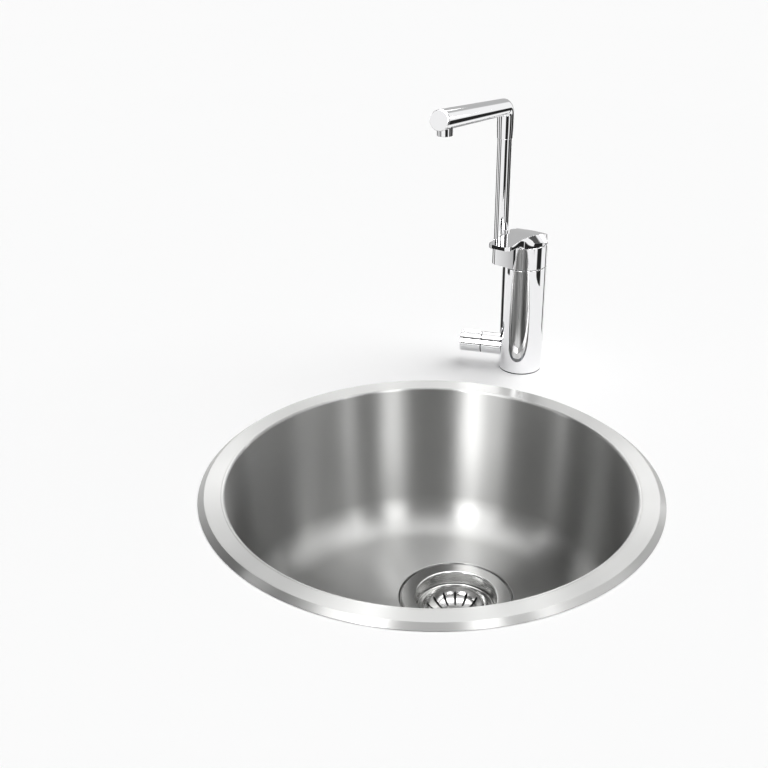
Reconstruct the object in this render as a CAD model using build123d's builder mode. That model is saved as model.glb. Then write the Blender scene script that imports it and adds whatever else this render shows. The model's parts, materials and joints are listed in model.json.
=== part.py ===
"""Round inset sink with a basket strainer waste and a single-lever mixer tap beside it.

Millimetres, +Z up. The origin is the centre of the bowl's rim on the worktop's surface.
"""

import os
from math import cos, radians, sin, tan

from build123d import *

os.makedirs("parts", exist_ok=True)

# Sizes shared by the whole set
worktop_thickness = 38.0
overrun = 12.0
fit_gap = 0.05
clear_gap = 0.3

# Bowl and rim
rim_outer_r = 220.0
rim_bevel_width = 5.8
rim_height = 4.9
rim_band_fall = 0.3
rim_width = 25.0
bowl_depth = 170.0
wall_lean = 7.0
cove_r = 38.0
lip_round_r = 3.0
ridge_round_r = 1.6
sheet = 1.0

# Waste opening pressed into the floor
waste_cove_gap = 36.641
waste_bearing = 57.834
recess_depth = 2.5
recess_gap = 2.2
waste_hole_gap = 4.0

# Sealing tape, clamp rail and clamps under the rim
rim_seal_width = 6.0
rim_seal_inset = 0.2
rail_height = 15.0
rail_drop = 9.0
rail_thickness = 1.2
rail_lip_width = 3.5
clamp_count = 6
lug_length = 8.0
lug_width = 12.0
lug_height = 7.0
clamp_width = 14.0
clamp_thickness = 2.0
clamp_inset = 1.5
clamp_bend_drop = 9.0
clamp_screw_r = 2.5
clamp_screw_head_r = 4.6
clamp_screw_head_height = 3.4
clamp_slot_width = 1.2

# Sound pad under the floor
pad_margin = 12.0
pad_thickness = 3.0
pad_waste_gap = 3.0

# Strainer cup
flange_width = 15.0
flange_rise = 0.4
cup_sheet = 1.7
cup_mouth_r = 43.0
cup_lip_round_r = 2.2
ledge_depth = 15.5
cup_mouth_lean = 1.8
ledge_width = 4.8
cup_depth = 41.0
cup_foot_lean = 3.4
cup_round_r = 2.4
drain_hole_r = 8.0
drain_hole_count = 6
drain_circle_inset = 12.0

# Rubber rings of the waste
ring_seal_gap = 1.5
housing_seal_thickness = 2.0

# Lower waste housing
housing_wall = 2.6
housing_flange_proud = 0.5
housing_flange_thickness = 3.0
housing_bore_step = 0.6
housing_cone_height = 17.0
outlet_r = 23.9
outlet_wall = 3.5
outlet_length = 28.0
boss_r = 7.0
boss_height = 9.5
housing_rib_count = 3
housing_rib_width = 3.0

# Waste screw
waste_screw_r = 2.9
waste_screw_head_r = 5.6
waste_screw_head_height = 2.4
waste_screw_slot = 1.4

# Strainer basket
basket_rim_gap = 2.9
basket_sheet = 1.2
basket_rim_width = 2.6
basket_flare = 21.3
basket_foot_gap = 6.3
basket_slot_count = 16
basket_slot_width = 2.6
basket_slot_start = 2.5
basket_slot_end = 5.3
basket_post_r = 2.4
basket_knob_r = 6.6
basket_knob_height = 4.0
basket_knob_gap = 5.0
basket_plug_gap = 3.0
basket_plug_thickness = 3.0
basket_nut_r = 5.0
basket_nut_height = 3.0

# Tap body, standing on the worktop beside the bowl
tap_rim_gap = 64.843
tap_bearing = 68.932
tap_r = 24.3
tap_wall = 3.6
gasket_height = 0.8
gasket_inset = 0.4
body_height = 125.4
bulkhead_height = 72.0
bulkhead_thickness = 8.0
cartridge_seat_width = 3.3
inlet_bore_r = 4.55
port_r = 3.4
inlet_spacing = 16.0
inlet_nipple_r = 6.0
inlet_nipple_length = 18.0

# Shank, washers and nut that hold the tap to the worktop
shank_step = 4.1
shank_wall = 3.0
shank_collar_height = 12.0
shank_free_length = 16.0
rubber_washer_thickness = 2.0
steel_washer_thickness = 1.5
washer_proud = 2.7
shank_nut_height = 9.0
shank_nut_wall = 6.4

# Head with the socket for the riser
seam_height = 0.6
seam_inset = 0.5
head_height = 25.5
socket_reach = 3.1
socket_angle = 177.0
socket_r = 8.6
socket_wall = 2.1
socket_depth = 18.0
head_bore_step = 0.5
head_shelf_drop = 11.9
waterway_r = 2.6
index_angle = 248.0
index_dot_r = 1.7
index_dot_height = 7.8
index_arrow_side = 5.2
index_arrow_height = 15.2
index_depth = 1.0
index_proud = 0.15

# Cartridge
cartridge_seal_height = 2.0
cartridge_neck_step = 5.0
cartridge_neck_height = 3.2
cartridge_nut_height = 4.6
stem_r = 4.0

# Lever and its carrier
lever_angle = 238.0
carrier_side_gap = 2.8
carrier_thickness = 4.0
carrier_gap = 1.0
ear_width = 3.6
ear_spacing = 13.0
ear_round_r = 3.2
lever_pin_r = 1.6
lever_pin_back = 12.0
lever_pin_rise = 1.4
lever_pin_length = 26.0
lever_gap = 0.5
lever_cap_inset = 0.6
lever_reach = 63.0
lever_tip_width = 27.0
lever_neck_width = 24.0
lever_neck_reach = 30.0
lever_tip_round_r = 6.0
lever_rear_top = 5.0
lever_hump_reach = 17.0
lever_hump_top = 12.6
lever_blade_dip = 11.8
lever_dip_reach = 40.0
lever_tip_top = 13.0
lever_blade_thickness = 4.4
lever_lift_angle = 15.0
lever_turn_towards_riser = 10.0
lever_turn_away = 45.0
notch_lift_angle = 4.0
pocket_gap = 0.8

# Riser, elbow and arm of the spout
riser_foot_lip = 0.9
riser_wall = 1.8
bush_wall = 1.5
riser_foot_height = 2.4
elbow_socket_drop = 33.0
elbow_socket_rise = 13.0
elbow_swell = 1.1
bend_clearance = 1.0
arm_angle = 244.8
arm_height = 299.5
arm_slope = 7.0
arm_length = 167.4
arm_swell = 1.2
arm_wall = 2.2
end_cap_thickness = 2.6
end_cap_inset = 0.35
end_cap_chamfer = 0.5
oring_r = 0.6
oring_places_share = (0.3, 0.7)

# Aerator under the arm's end
aerator_back = 14.0
aerator_inset = 2.4
aerator_wall = 1.5
aerator_drop = 5.2
aerator_rise = 6.0
aerator_insert_inset = 0.7
aerator_insert_height = 6.0
aerator_hole_r = 0.8
aerator_ring_shares = (0.36, 0.69)
aerator_ring_counts = (6, 12)

# Shut-off valve on the tap's side
valve_angle = 166.0
valve_height = 25.0
valve_r = 12.2
valve_shoulder = 2.8
valve_wall = 2.0
valve_stub_length = 20.3
valve_seam_width = 1.0
valve_knob_length = 23.9
valve_stem_r = 3.2
valve_stem_end_gap = 9.5
valve_knob_wall = 3.2
valve_knob_bore_depth = 5.0
valve_knob_chamfer = 0.8
valve_rib_width = 6.6
valve_rib_start_gap = 1.7
valve_rib_proud = 1.1
valve_rib_end_gap = 2.2

# Radii and places worked out from the sizes above
mouth_r = rim_outer_r - rim_width
ridge_r = rim_outer_r - rim_bevel_width
floor_corner_r = mouth_r - wall_lean
rim_seal_outer_r = ridge_r - rim_seal_inset
clamp_outer_r = rim_outer_r - clamp_inset
pad_r = floor_corner_r - cove_r - pad_margin
flange_r = cup_mouth_r + flange_width
recess_r = flange_r + recess_gap
waste_offset = floor_corner_r - cove_r - recess_r - waste_cove_gap
waste_x = waste_offset * cos(radians(waste_bearing))
waste_y = waste_offset * sin(radians(waste_bearing))
waste_hole_r = cup_mouth_r + waste_hole_gap
ledge_outer_r = cup_mouth_r - cup_mouth_lean
ledge_inner_r = ledge_outer_r - ledge_width
cup_foot_r = ledge_inner_r - cup_foot_lean
drain_circle_r = cup_foot_r - drain_circle_inset
ring_seal_inner_r = waste_hole_r + ring_seal_gap
ring_seal_outer_r = flange_r - ring_seal_gap
housing_flange_r = flange_r + housing_flange_proud
housing_inner_r = waste_hole_r - housing_bore_step
outlet_bore_r = outlet_r - outlet_wall
basket_rim_r = ledge_outer_r - basket_rim_gap
basket_floor_r = basket_rim_r - basket_flare
basket_slot_inner_r = basket_floor_r + basket_slot_start
basket_slot_outer_r = basket_rim_r - basket_slot_end
basket_plug_r = cup_foot_r - basket_plug_gap
tap_offset = rim_outer_r + tap_rim_gap
tap_x = tap_offset * cos(radians(tap_bearing))
tap_y = tap_offset * sin(radians(tap_bearing))
body_bore_r = tap_r - tap_wall
cartridge_r = body_bore_r - cartridge_seat_width
cartridge_neck_r = cartridge_r - cartridge_neck_step
shank_r = body_bore_r - shank_step
shank_bore_r = shank_r - shank_wall
washer_r = tap_r + washer_proud
socket_offset = tap_r + socket_reach
socket_bore_r = socket_r - socket_wall
head_bore_r = body_bore_r - head_bore_step
carrier_r = head_bore_r - carrier_side_gap
lever_cap_r = tap_r - lever_cap_inset
riser_foot_r = socket_r
riser_r = riser_foot_r - riser_foot_lip
riser_spigot_r = socket_bore_r - bush_wall
riser_bore_r = riser_spigot_r - riser_wall
riser_x = tap_x + socket_offset * cos(radians(socket_angle))
riser_y = tap_y + socket_offset * sin(radians(socket_angle))
elbow_r = riser_r + elbow_swell
bend_r = elbow_r + bend_clearance
arm_end_r = elbow_r + arm_swell
aerator_r = arm_end_r - aerator_inset
valve_spigot_r = valve_r - valve_shoulder
valve_bore_r = valve_spigot_r - valve_wall
valve_seam_reach = tap_r + valve_stub_length
valve_knob_reach = valve_seam_reach + valve_seam_width
valve_reach = valve_knob_reach + valve_knob_length
valve_stem_reach = valve_reach - valve_stem_end_gap
valve_knob_bore_r = valve_r - valve_knob_wall
valve_rib_length = valve_knob_length - valve_rib_start_gap - valve_rib_end_gap

# Levels worked out from the sizes above
mouth_z = rim_height - rim_band_fall
floor_z = mouth_z - bowl_depth
recess_z = floor_z - recess_depth
flange_z = floor_z + flange_rise
flange_under_z = flange_z - cup_sheet
ledge_z = flange_z - ledge_depth
cup_floor_z = flange_z - cup_depth
cup_bottom_z = cup_floor_z - cup_sheet
housing_z = recess_z - sheet - housing_seal_thickness
outlet_z = cup_bottom_z - boss_height
basket_z = ledge_z + clear_gap + basket_sheet
plug_z = cup_floor_z + basket_foot_gap + basket_nut_height
plug_top_z = plug_z + basket_plug_thickness
basket_floor_z = plug_top_z + basket_sheet
head_z = body_height + seam_height
head_top_z = head_z + head_height
neck_z = head_top_z - head_shelf_drop
seal_z = bulkhead_height + bulkhead_thickness
cartridge_z = seal_z + cartridge_seal_height
carrier_z = head_top_z - carrier_gap - carrier_thickness
lever_z = head_top_z + lever_gap
lever_pin_z = lever_z + lever_pin_rise

bowl_axis = Axis.Z
waste_axis = Axis((waste_x, waste_y, 0), (0, 0, 1))
riser_axis = Axis((riser_x, riser_y, 0), (0, 0, 1))


def upright_plane(x, y, angle=0.0, z=0.0):
    """A standing plane through (x, y, z): its x runs level at the angle, its y runs up."""
    turn = radians(angle)
    return Plane(origin=(x, y, z), x_dir=(cos(turn), sin(turn), 0), z_dir=(sin(turn), -cos(turn), 0))


def level_plane(x, y, z, angle=0.0):
    """A level plane at height z whose x runs at the angle."""
    turn = radians(angle)
    return Plane(origin=(x, y, z), x_dir=(cos(turn), sin(turn), 0), z_dir=(0, 0, 1))


def ring(x, y, bottom, top, inner_r, outer_r):
    """A plain round ring between two heights."""
    with BuildPart() as made:
        with BuildSketch(level_plane(x, y, bottom)):
            Circle(outer_r)
            Circle(inner_r, mode=Mode.SUBTRACT)
        extrude(amount=top - bottom)
    return made.part


def save(part, name):
    """Labels a finished piece and writes its file."""
    part.label = name
    export_step(part, f"parts/{name}.step")


# Bowl: one pressed steel sheet, from the rim's outer edge to the waste opening
with BuildSketch() as bowl_space:
    with BuildLine():
        FilletPolyline(
            (0, floor_z),
            (floor_corner_r, floor_z),
            (mouth_r, mouth_z),
            (ridge_r, rim_height),
            (rim_outer_r, 0),
            radius=[cove_r, lip_round_r, ridge_round_r],
        )
        Polyline(
            (rim_outer_r, 0),
            (rim_outer_r + overrun, 0),
            (rim_outer_r + overrun, overrun),
            (0, overrun),
            (0, floor_z),
        )
    make_face()

with BuildPart() as bowl:
    with BuildSketch(Plane.XZ):
        add(bowl_space.sketch)
        offset(amount=sheet, kind=Kind.ARC)
        add(bowl_space.sketch, mode=Mode.SUBTRACT)
        with Locations((mouth_r + 2 * sheet, 0)):
            Rectangle(rim_outer_r, overrun, align=(Align.MIN, Align.MAX), mode=Mode.SUBTRACT)
        with Locations((rim_outer_r, 0)):
            Rectangle(2 * overrun, 4 * overrun, align=(Align.MIN, Align.CENTER), mode=Mode.SUBTRACT)
        with Locations((0, overrun)):
            Rectangle(3 * rim_outer_r, overrun, align=(Align.CENTER, Align.MIN), mode=Mode.SUBTRACT)
        with Locations((0, floor_z - overrun)):
            Rectangle(overrun, bowl_depth + 2 * overrun, align=(Align.MAX, Align.MIN), mode=Mode.SUBTRACT)
    revolve(axis=bowl_axis)
    with BuildSketch(level_plane(waste_x, waste_y, recess_z - sheet)):
        Circle(recess_r + sheet)
    extrude(amount=recess_depth + sheet)
    with BuildSketch(level_plane(waste_x, waste_y, recess_z)):
        Circle(recess_r)
    extrude(amount=recess_depth + sheet, mode=Mode.SUBTRACT)
    with BuildSketch(level_plane(waste_x, waste_y, recess_z - overrun)):
        Circle(waste_hole_r)
    extrude(amount=2 * overrun, mode=Mode.SUBTRACT)
save(bowl.part, "bowl")

# Sealing tape between the rim and the worktop
rim_seal_top = mouth_z - sheet - clear_gap
rim_seal_inner_r = rim_seal_outer_r - rim_seal_width
save(ring(0, 0, 0, rim_seal_top, rim_seal_inner_r, rim_seal_outer_r), "rim_seal")

# Clamp rail: a folded ring welded under the rim, with threaded lugs for the clamps
rail_top_z = -rail_drop
rail_foot_z = rail_top_z - rail_height
wall_slope = (mouth_r - floor_corner_r) / bowl_depth
rail_inner_r = mouth_r + sheet + wall_slope * rail_top_z
lug_inner_r = rail_inner_r + rail_thickness
with BuildPart() as clamp_rail:
    with BuildSketch(Plane.XZ):
        with Locations((rail_inner_r, rail_foot_z)):
            Rectangle(rail_thickness, rail_height, align=(Align.MIN, Align.MIN))
            Rectangle(rail_thickness + rail_lip_width, rail_thickness, align=(Align.MIN, Align.MIN))
    revolve(axis=bowl_axis)
    with BuildSketch(Plane.XY.offset(rail_foot_z + rail_thickness)):
        with PolarLocations(lug_inner_r + lug_length / 2, clamp_count):
            Rectangle(lug_length + rail_thickness, lug_width)
    extrude(amount=lug_height)
    with BuildSketch(Plane.XY.offset(rail_foot_z - overrun)):
        with PolarLocations(lug_inner_r + lug_length / 2, clamp_count):
            Circle(clamp_screw_r + fit_gap)
    extrude(amount=3 * overrun, mode=Mode.SUBTRACT)
save(clamp_rail.part, "clamp_rail")

# Clamps: folded steel dogs whose outer foot bears on the worktop's underside
clamp_bar_z = -worktop_thickness - clamp_bend_drop
with BuildSketch() as clamp_side:
    with Locations((rail_inner_r, clamp_bar_z - clamp_thickness)):
        Rectangle(clamp_outer_r - rail_inner_r, clamp_thickness, align=(Align.MIN, Align.MIN))
    with Locations((clamp_outer_r, clamp_bar_z - clamp_thickness)):
        Rectangle(clamp_thickness, clamp_bend_drop + clamp_thickness, align=(Align.MAX, Align.MIN))
    with Locations((rail_inner_r, clamp_bar_z - clamp_thickness)):
        Rectangle(
            clamp_thickness,
            clamp_thickness + rail_foot_z - clear_gap - clamp_bar_z,
            align=(Align.MIN, Align.MIN),
        )

with BuildPart() as clamps:
    for place in range(clamp_count):
        with BuildSketch(upright_plane(0, 0, place * 360 / clamp_count)):
            add(clamp_side.sketch)
        extrude(amount=clamp_width / 2, both=True)
    with BuildSketch(Plane.XY.offset(clamp_bar_z - overrun)):
        with PolarLocations(lug_inner_r + lug_length / 2, clamp_count):
            Circle(clamp_screw_r + clear_gap)
    extrude(amount=overrun, mode=Mode.SUBTRACT)
save(clamps.part, "clamps")

# Clamp screws, turned from below
screw_head_z = clamp_bar_z - clamp_thickness - clamp_screw_head_height
with BuildPart() as clamp_screws:
    with BuildSketch(Plane.XY.offset(screw_head_z)):
        with PolarLocations(lug_inner_r + lug_length / 2, clamp_count):
            Circle(clamp_screw_head_r)
            Rectangle(3 * clamp_screw_head_r, clamp_slot_width, mode=Mode.SUBTRACT)
    extrude(amount=clamp_screw_head_height / 2)
    with BuildSketch(Plane.XY.offset(screw_head_z + clamp_screw_head_height / 2)):
        with PolarLocations(lug_inner_r + lug_length / 2, clamp_count):
            Circle(clamp_screw_head_r)
    extrude(amount=clamp_screw_head_height / 2)
    with BuildSketch(Plane.XY.offset(screw_head_z + clamp_screw_head_height)):
        with PolarLocations(lug_inner_r + lug_length / 2, clamp_count):
            Circle(clamp_screw_r)
    extrude(amount=rail_foot_z + rail_thickness + lug_height - screw_head_z - clamp_screw_head_height)
save(clamp_screws.part, "clamp_screws")

# Sound pad stuck under the floor
with BuildPart() as sound_pad:
    with BuildSketch(Plane.XY.offset(floor_z - sheet - pad_thickness)):
        Circle(pad_r)
        with Locations((waste_x, waste_y)):
            Circle(recess_r + sheet + pad_waste_gap, mode=Mode.SUBTRACT)
    extrude(amount=pad_thickness)
save(sound_pad.part, "sound_pad")

# Strainer cup: the flanged steel cup that clamps through the bowl's floor
with BuildSketch() as cup_space:
    with BuildLine():
        FilletPolyline(
            (0, cup_floor_z),
            (cup_foot_r, cup_floor_z),
            (ledge_inner_r, ledge_z),
            (ledge_outer_r, ledge_z),
            (cup_mouth_r, flange_z),
            (flange_r + overrun, flange_z),
            radius=[cup_round_r, cup_round_r / 2, cup_round_r / 2, cup_lip_round_r],
        )
        Polyline(
            (flange_r + overrun, flange_z),
            (flange_r + overrun, flange_z + overrun),
            (0, flange_z + overrun),
            (0, cup_floor_z),
        )
    make_face()

with BuildPart() as strainer_cup:
    with BuildSketch(upright_plane(waste_x, waste_y)):
        add(cup_space.sketch)
        offset(amount=cup_sheet, kind=Kind.ARC)
        add(cup_space.sketch, mode=Mode.SUBTRACT)
        with Locations((flange_r, flange_z)):
            Rectangle(3 * overrun, 4 * overrun, align=(Align.MIN, Align.CENTER), mode=Mode.SUBTRACT)
        with Locations((0, flange_z + overrun)):
            Rectangle(3 * flange_r, overrun, align=(Align.CENTER, Align.MIN), mode=Mode.SUBTRACT)
        with Locations((0, cup_floor_z - overrun)):
            Rectangle(overrun, cup_depth + 3 * overrun, align=(Align.MAX, Align.MIN), mode=Mode.SUBTRACT)
    revolve(axis=waste_axis)
    with BuildSketch(level_plane(waste_x, waste_y, cup_bottom_z - overrun)):
        with PolarLocations(drain_circle_r, drain_hole_count):
            Circle(drain_hole_r)
        Circle(waste_screw_r + fit_gap)
    extrude(amount=2 * overrun, mode=Mode.SUBTRACT)
save(strainer_cup.part, "strainer_cup")

# Rubber rings above and below the bowl's floor
flange_seal = ring(waste_x, waste_y, recess_z, flange_under_z, ring_seal_inner_r, ring_seal_outer_r)
save(flange_seal, "flange_seal")
housing_seal = ring(waste_x, waste_y, housing_z, recess_z - sheet, ring_seal_inner_r, ring_seal_outer_r)
save(housing_seal, "housing_seal")

# Lower waste housing with its outlet and the ribbed boss that takes the screw
housing_cone_z = outlet_z - housing_wall
housing_step_z = housing_cone_z + housing_cone_height
housing_foot_z = housing_cone_z - outlet_length
with BuildPart() as waste_housing:
    with BuildSketch(upright_plane(waste_x, waste_y)):
        Polygon(
            (housing_inner_r, housing_z),
            (housing_flange_r, housing_z),
            (housing_flange_r, housing_z - housing_flange_thickness),
            (housing_inner_r + housing_wall, housing_z - housing_flange_thickness),
            (housing_inner_r + housing_wall, housing_step_z),
            (outlet_r, housing_cone_z),
            (outlet_r, housing_foot_z),
            (outlet_bore_r, housing_foot_z),
            (outlet_bore_r, housing_cone_z + housing_wall),
            (housing_inner_r, housing_step_z + housing_wall),
            align=None,
        )
    revolve(axis=waste_axis)
    with BuildSketch(level_plane(waste_x, waste_y, outlet_z)):
        Circle(boss_r)
    extrude(amount=boss_height)
    with BuildSketch(level_plane(waste_x, waste_y, outlet_z)):
        with PolarLocations(0, housing_rib_count):
            with Locations((0, 0)):
                Rectangle(outlet_r, housing_rib_width, align=(Align.MIN, Align.CENTER))
    extrude(amount=boss_height / 2)
    with BuildSketch(level_plane(waste_x, waste_y, outlet_z - overrun)):
        Circle(waste_screw_r + fit_gap)
    extrude(amount=2 * overrun, mode=Mode.SUBTRACT)
save(waste_housing.part, "waste_housing")

# Screw that draws the housing up to the cup
with BuildPart() as waste_screw:
    with BuildSketch(level_plane(waste_x, waste_y, cup_floor_z)):
        Circle(waste_screw_head_r)
    extrude(amount=waste_screw_head_height)
    with BuildSketch(level_plane(waste_x, waste_y, cup_floor_z + waste_screw_head_height / 2)):
        Rectangle(3 * waste_screw_head_r, waste_screw_slot)
    extrude(amount=waste_screw_head_height, mode=Mode.SUBTRACT)
    with BuildSketch(level_plane(waste_x, waste_y, outlet_z)):
        Circle(waste_screw_r)
    extrude(amount=cup_floor_z - outlet_z)
save(waste_screw.part, "waste_screw")

# Strainer basket: a slotted steel dish that lifts out by its knob
with BuildSketch() as basket_space:
    with BuildLine():
        Line((0, basket_floor_z), (basket_floor_r, basket_floor_z))
        TangentArc(
            (basket_floor_r, basket_floor_z),
            (basket_rim_r - basket_rim_width, basket_z),
            tangent=(1, 0),
        )
        Polyline(
            (basket_rim_r - basket_rim_width, basket_z),
            (basket_rim_r + overrun, basket_z),
            (basket_rim_r + overrun, basket_z + overrun),
            (0, basket_z + overrun),
            (0, basket_floor_z),
        )
    make_face()

slot_middle_r = (basket_slot_inner_r + basket_slot_outer_r) / 2
slot_length = basket_slot_outer_r - basket_slot_inner_r
with BuildPart() as basket:
    with BuildSketch(upright_plane(waste_x, waste_y)):
        add(basket_space.sketch)
        offset(amount=basket_sheet, kind=Kind.ARC)
        add(basket_space.sketch, mode=Mode.SUBTRACT)
        with Locations((basket_rim_r, basket_z)):
            Rectangle(3 * overrun, 3 * overrun, align=(Align.MIN, Align.CENTER), mode=Mode.SUBTRACT)
        with Locations((0, basket_z + overrun)):
            Rectangle(3 * basket_rim_r, overrun, align=(Align.CENTER, Align.MIN), mode=Mode.SUBTRACT)
        with Locations((0, basket_floor_z - overrun)):
            Rectangle(overrun, cup_depth + 3 * overrun, align=(Align.MAX, Align.MIN), mode=Mode.SUBTRACT)
    revolve(axis=waste_axis)
    with BuildSketch(level_plane(waste_x, waste_y, basket_floor_z - overrun)):
        with PolarLocations(slot_middle_r, basket_slot_count):
            SlotOverall(slot_length, basket_slot_width)
        Circle(basket_post_r + fit_gap)
    extrude(amount=cup_depth, mode=Mode.SUBTRACT)
save(basket.part, "strainer_basket")

# Post with its pull knob, the rubber plug under the basket and the nut that holds them
knob_z = basket_floor_z + basket_knob_gap
with BuildPart() as basket_post:
    with BuildSketch(upright_plane(waste_x, waste_y)):
        with BuildLine():
            Polyline(
                (0, plug_z - basket_nut_height),
                (basket_post_r, plug_z - basket_nut_height),
                (basket_post_r, knob_z),
            )
            JernArc((basket_post_r, knob_z), (1, 0), basket_knob_height / 2, 90)
            ThreePointArc(
                (basket_post_r + basket_knob_height / 2, knob_z + basket_knob_height / 2),
                (basket_knob_r, knob_z + basket_knob_height * 3 / 4),
                (basket_knob_r / 2, knob_z + basket_knob_height),
            )
            Polyline(
                (basket_knob_r / 2, knob_z + basket_knob_height),
                (0, knob_z + basket_knob_height),
                (0, plug_z - basket_nut_height),
            )
        make_face()
    revolve(axis=waste_axis)
save(basket_post.part, "basket_post")
save(ring(waste_x, waste_y, plug_z, plug_top_z, basket_post_r + fit_gap, basket_plug_r), "basket_plug")

with BuildPart() as basket_nut:
    with BuildSketch(level_plane(waste_x, waste_y, plug_z - basket_nut_height)):
        RegularPolygon(basket_nut_r, 6)
        Circle(basket_post_r + fit_gap, mode=Mode.SUBTRACT)
    extrude(amount=basket_nut_height)
save(basket_nut.part, "basket_nut")

# Tap base gasket
gasket = ring(tap_x, tap_y, 0, gasket_height, shank_r + clear_gap, tap_r - gasket_inset)
save(gasket, "base_gasket")

# Tap body: a brass tube with a bulkhead for the inlets and a port for the side valve
with BuildPart() as tap_body:
    with BuildSketch(level_plane(tap_x, tap_y, gasket_height)):
        Circle(tap_r)
    extrude(amount=body_height - gasket_height)
    with BuildSketch(level_plane(tap_x, tap_y, 0)):
        Circle(body_bore_r)
    extrude(amount=bulkhead_height, mode=Mode.SUBTRACT)
    with BuildSketch(level_plane(tap_x, tap_y, seal_z)):
        Circle(cartridge_r + fit_gap)
    extrude(amount=body_height, mode=Mode.SUBTRACT)
    with BuildSketch(level_plane(tap_x, tap_y, bulkhead_height - overrun, lever_angle + 90)):
        with GridLocations(inlet_spacing, 0, 2, 1):
            Circle(port_r)
    extrude(amount=3 * overrun, mode=Mode.SUBTRACT)
    with BuildSketch(upright_plane(tap_x, tap_y, valve_angle - 90)):
        with Locations((0, valve_height)):
            Circle(valve_spigot_r + fit_gap)
    extrude(amount=-2 * tap_r, mode=Mode.SUBTRACT)
save(tap_body.part, "tap_body")

# Inlet nipples that take the supply hoses from below
with BuildPart() as inlet_nipples:
    with BuildSketch(level_plane(tap_x, tap_y, bulkhead_height - inlet_nipple_length, lever_angle + 90)):
        with GridLocations(inlet_spacing, 0, 2, 1):
            Circle(inlet_nipple_r)
            Circle(inlet_bore_r, mode=Mode.SUBTRACT)
    extrude(amount=inlet_nipple_length)
save(inlet_nipples.part, "inlet_nipples")

# Hollow threaded shank through the worktop
shank_foot_z = -worktop_thickness - shank_free_length
with BuildPart() as shank:
    with BuildSketch(level_plane(tap_x, tap_y, shank_foot_z)):
        Circle(shank_r)
    extrude(amount=gasket_height - shank_foot_z)
    with BuildSketch(level_plane(tap_x, tap_y, gasket_height)):
        Circle(body_bore_r - fit_gap)
    extrude(amount=shank_collar_height)
    with BuildSketch(level_plane(tap_x, tap_y, shank_foot_z)):
        Circle(shank_bore_r)
    extrude(amount=shank_collar_height + 2 * worktop_thickness, mode=Mode.SUBTRACT)
save(shank.part, "mounting_shank")

# Washers and nut against the worktop's underside
washer_z = -worktop_thickness - rubber_washer_thickness
plate_z = washer_z - steel_washer_thickness
washer_bore_r = shank_r + fit_gap
rubber_washer = ring(tap_x, tap_y, washer_z, -worktop_thickness, washer_bore_r, washer_r)
save(rubber_washer, "shank_rubber_washer")
steel_washer = ring(tap_x, tap_y, plate_z, washer_z, washer_bore_r, washer_r)
save(steel_washer, "shank_steel_washer")

with BuildPart() as shank_nut:
    with BuildSketch(level_plane(tap_x, tap_y, plate_z - shank_nut_height)):
        RegularPolygon(shank_r + shank_nut_wall, 6, major_radius=False)
        Circle(washer_bore_r, mode=Mode.SUBTRACT)
    extrude(amount=shank_nut_height)
save(shank_nut.part, "shank_nut")

# Dark joint ring between the body and the head
save(ring(tap_x, tap_y, body_height, head_z, body_bore_r, tap_r - seam_inset), "joint_ring")

# Head: the body's round drawn out to a socket for the riser
socket_floor_z = head_top_z - socket_depth
index_dot_z = head_z + index_dot_height
index_arrow_z = head_z + index_arrow_height
with BuildSketch() as index_marks_outline:
    with Locations((0, index_dot_z)):
        Circle(index_dot_r)
    with Locations((0, index_arrow_z)):
        Triangle(a=index_arrow_side, b=index_arrow_side, c=index_arrow_side)

with BuildPart() as head:
    with BuildSketch(level_plane(tap_x, tap_y, head_z, socket_angle)):
        Circle(tap_r)
        with Locations((socket_offset, 0)):
            Circle(socket_r)
        make_hull()
    extrude(amount=head_height)
    with BuildSketch(level_plane(tap_x, tap_y, head_z)):
        Circle(cartridge_r + fit_gap)
    extrude(amount=head_height, mode=Mode.SUBTRACT)
    with BuildSketch(level_plane(tap_x, tap_y, neck_z)):
        Circle(head_bore_r)
    extrude(amount=head_height, mode=Mode.SUBTRACT)
    with BuildSketch(level_plane(riser_x, riser_y, socket_floor_z)):
        Circle(socket_bore_r)
    extrude(amount=head_height, mode=Mode.SUBTRACT)
    with BuildSketch(upright_plane(tap_x, tap_y, socket_angle + 90)):
        with Locations((0, socket_floor_z + waterway_r)):
            Circle(waterway_r)
    extrude(amount=-socket_offset, mode=Mode.SUBTRACT)
    with BuildSketch(upright_plane(tap_x, tap_y, index_angle + 90).offset(-(tap_r - index_depth))):
        add(index_marks_outline.sketch)
    extrude(amount=-overrun, mode=Mode.SUBTRACT)
save(head.part, "tap_head")

# Index marks let into the head's front
with BuildPart() as index_marks:
    with BuildSketch(upright_plane(tap_x, tap_y, index_angle + 90).offset(-(tap_r - index_depth))):
        add(index_marks_outline.sketch)
    extrude(amount=-(index_depth + index_proud))
save(index_marks.part, "index_marks")

# Ceramic cartridge, its seal, its ring nut and its stem
with BuildPart() as cartridge_seal:
    with BuildSketch(level_plane(tap_x, tap_y, seal_z, lever_angle + 90)):
        Circle(cartridge_r)
        with GridLocations(inlet_spacing, 0, 2, 1):
            Circle(port_r, mode=Mode.SUBTRACT)
    extrude(amount=cartridge_seal_height)
save(cartridge_seal.part, "cartridge_seal")

with BuildPart() as cartridge:
    with BuildSketch(level_plane(tap_x, tap_y, cartridge_z)):
        Circle(cartridge_r)
    extrude(amount=neck_z - cartridge_z)
    with BuildSketch(level_plane(tap_x, tap_y, neck_z)):
        Circle(cartridge_neck_r)
    extrude(amount=cartridge_neck_height)
    with BuildSketch(level_plane(tap_x, tap_y, neck_z - overrun)):
        Circle(stem_r + fit_gap)
    extrude(amount=2 * overrun, mode=Mode.SUBTRACT)
    with BuildSketch(level_plane(tap_x, tap_y, cartridge_z, lever_angle + 90)):
        with GridLocations(inlet_spacing, 0, 2, 1):
            Circle(port_r)
    extrude(amount=overrun, mode=Mode.SUBTRACT)
save(cartridge.part, "cartridge")

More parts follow.
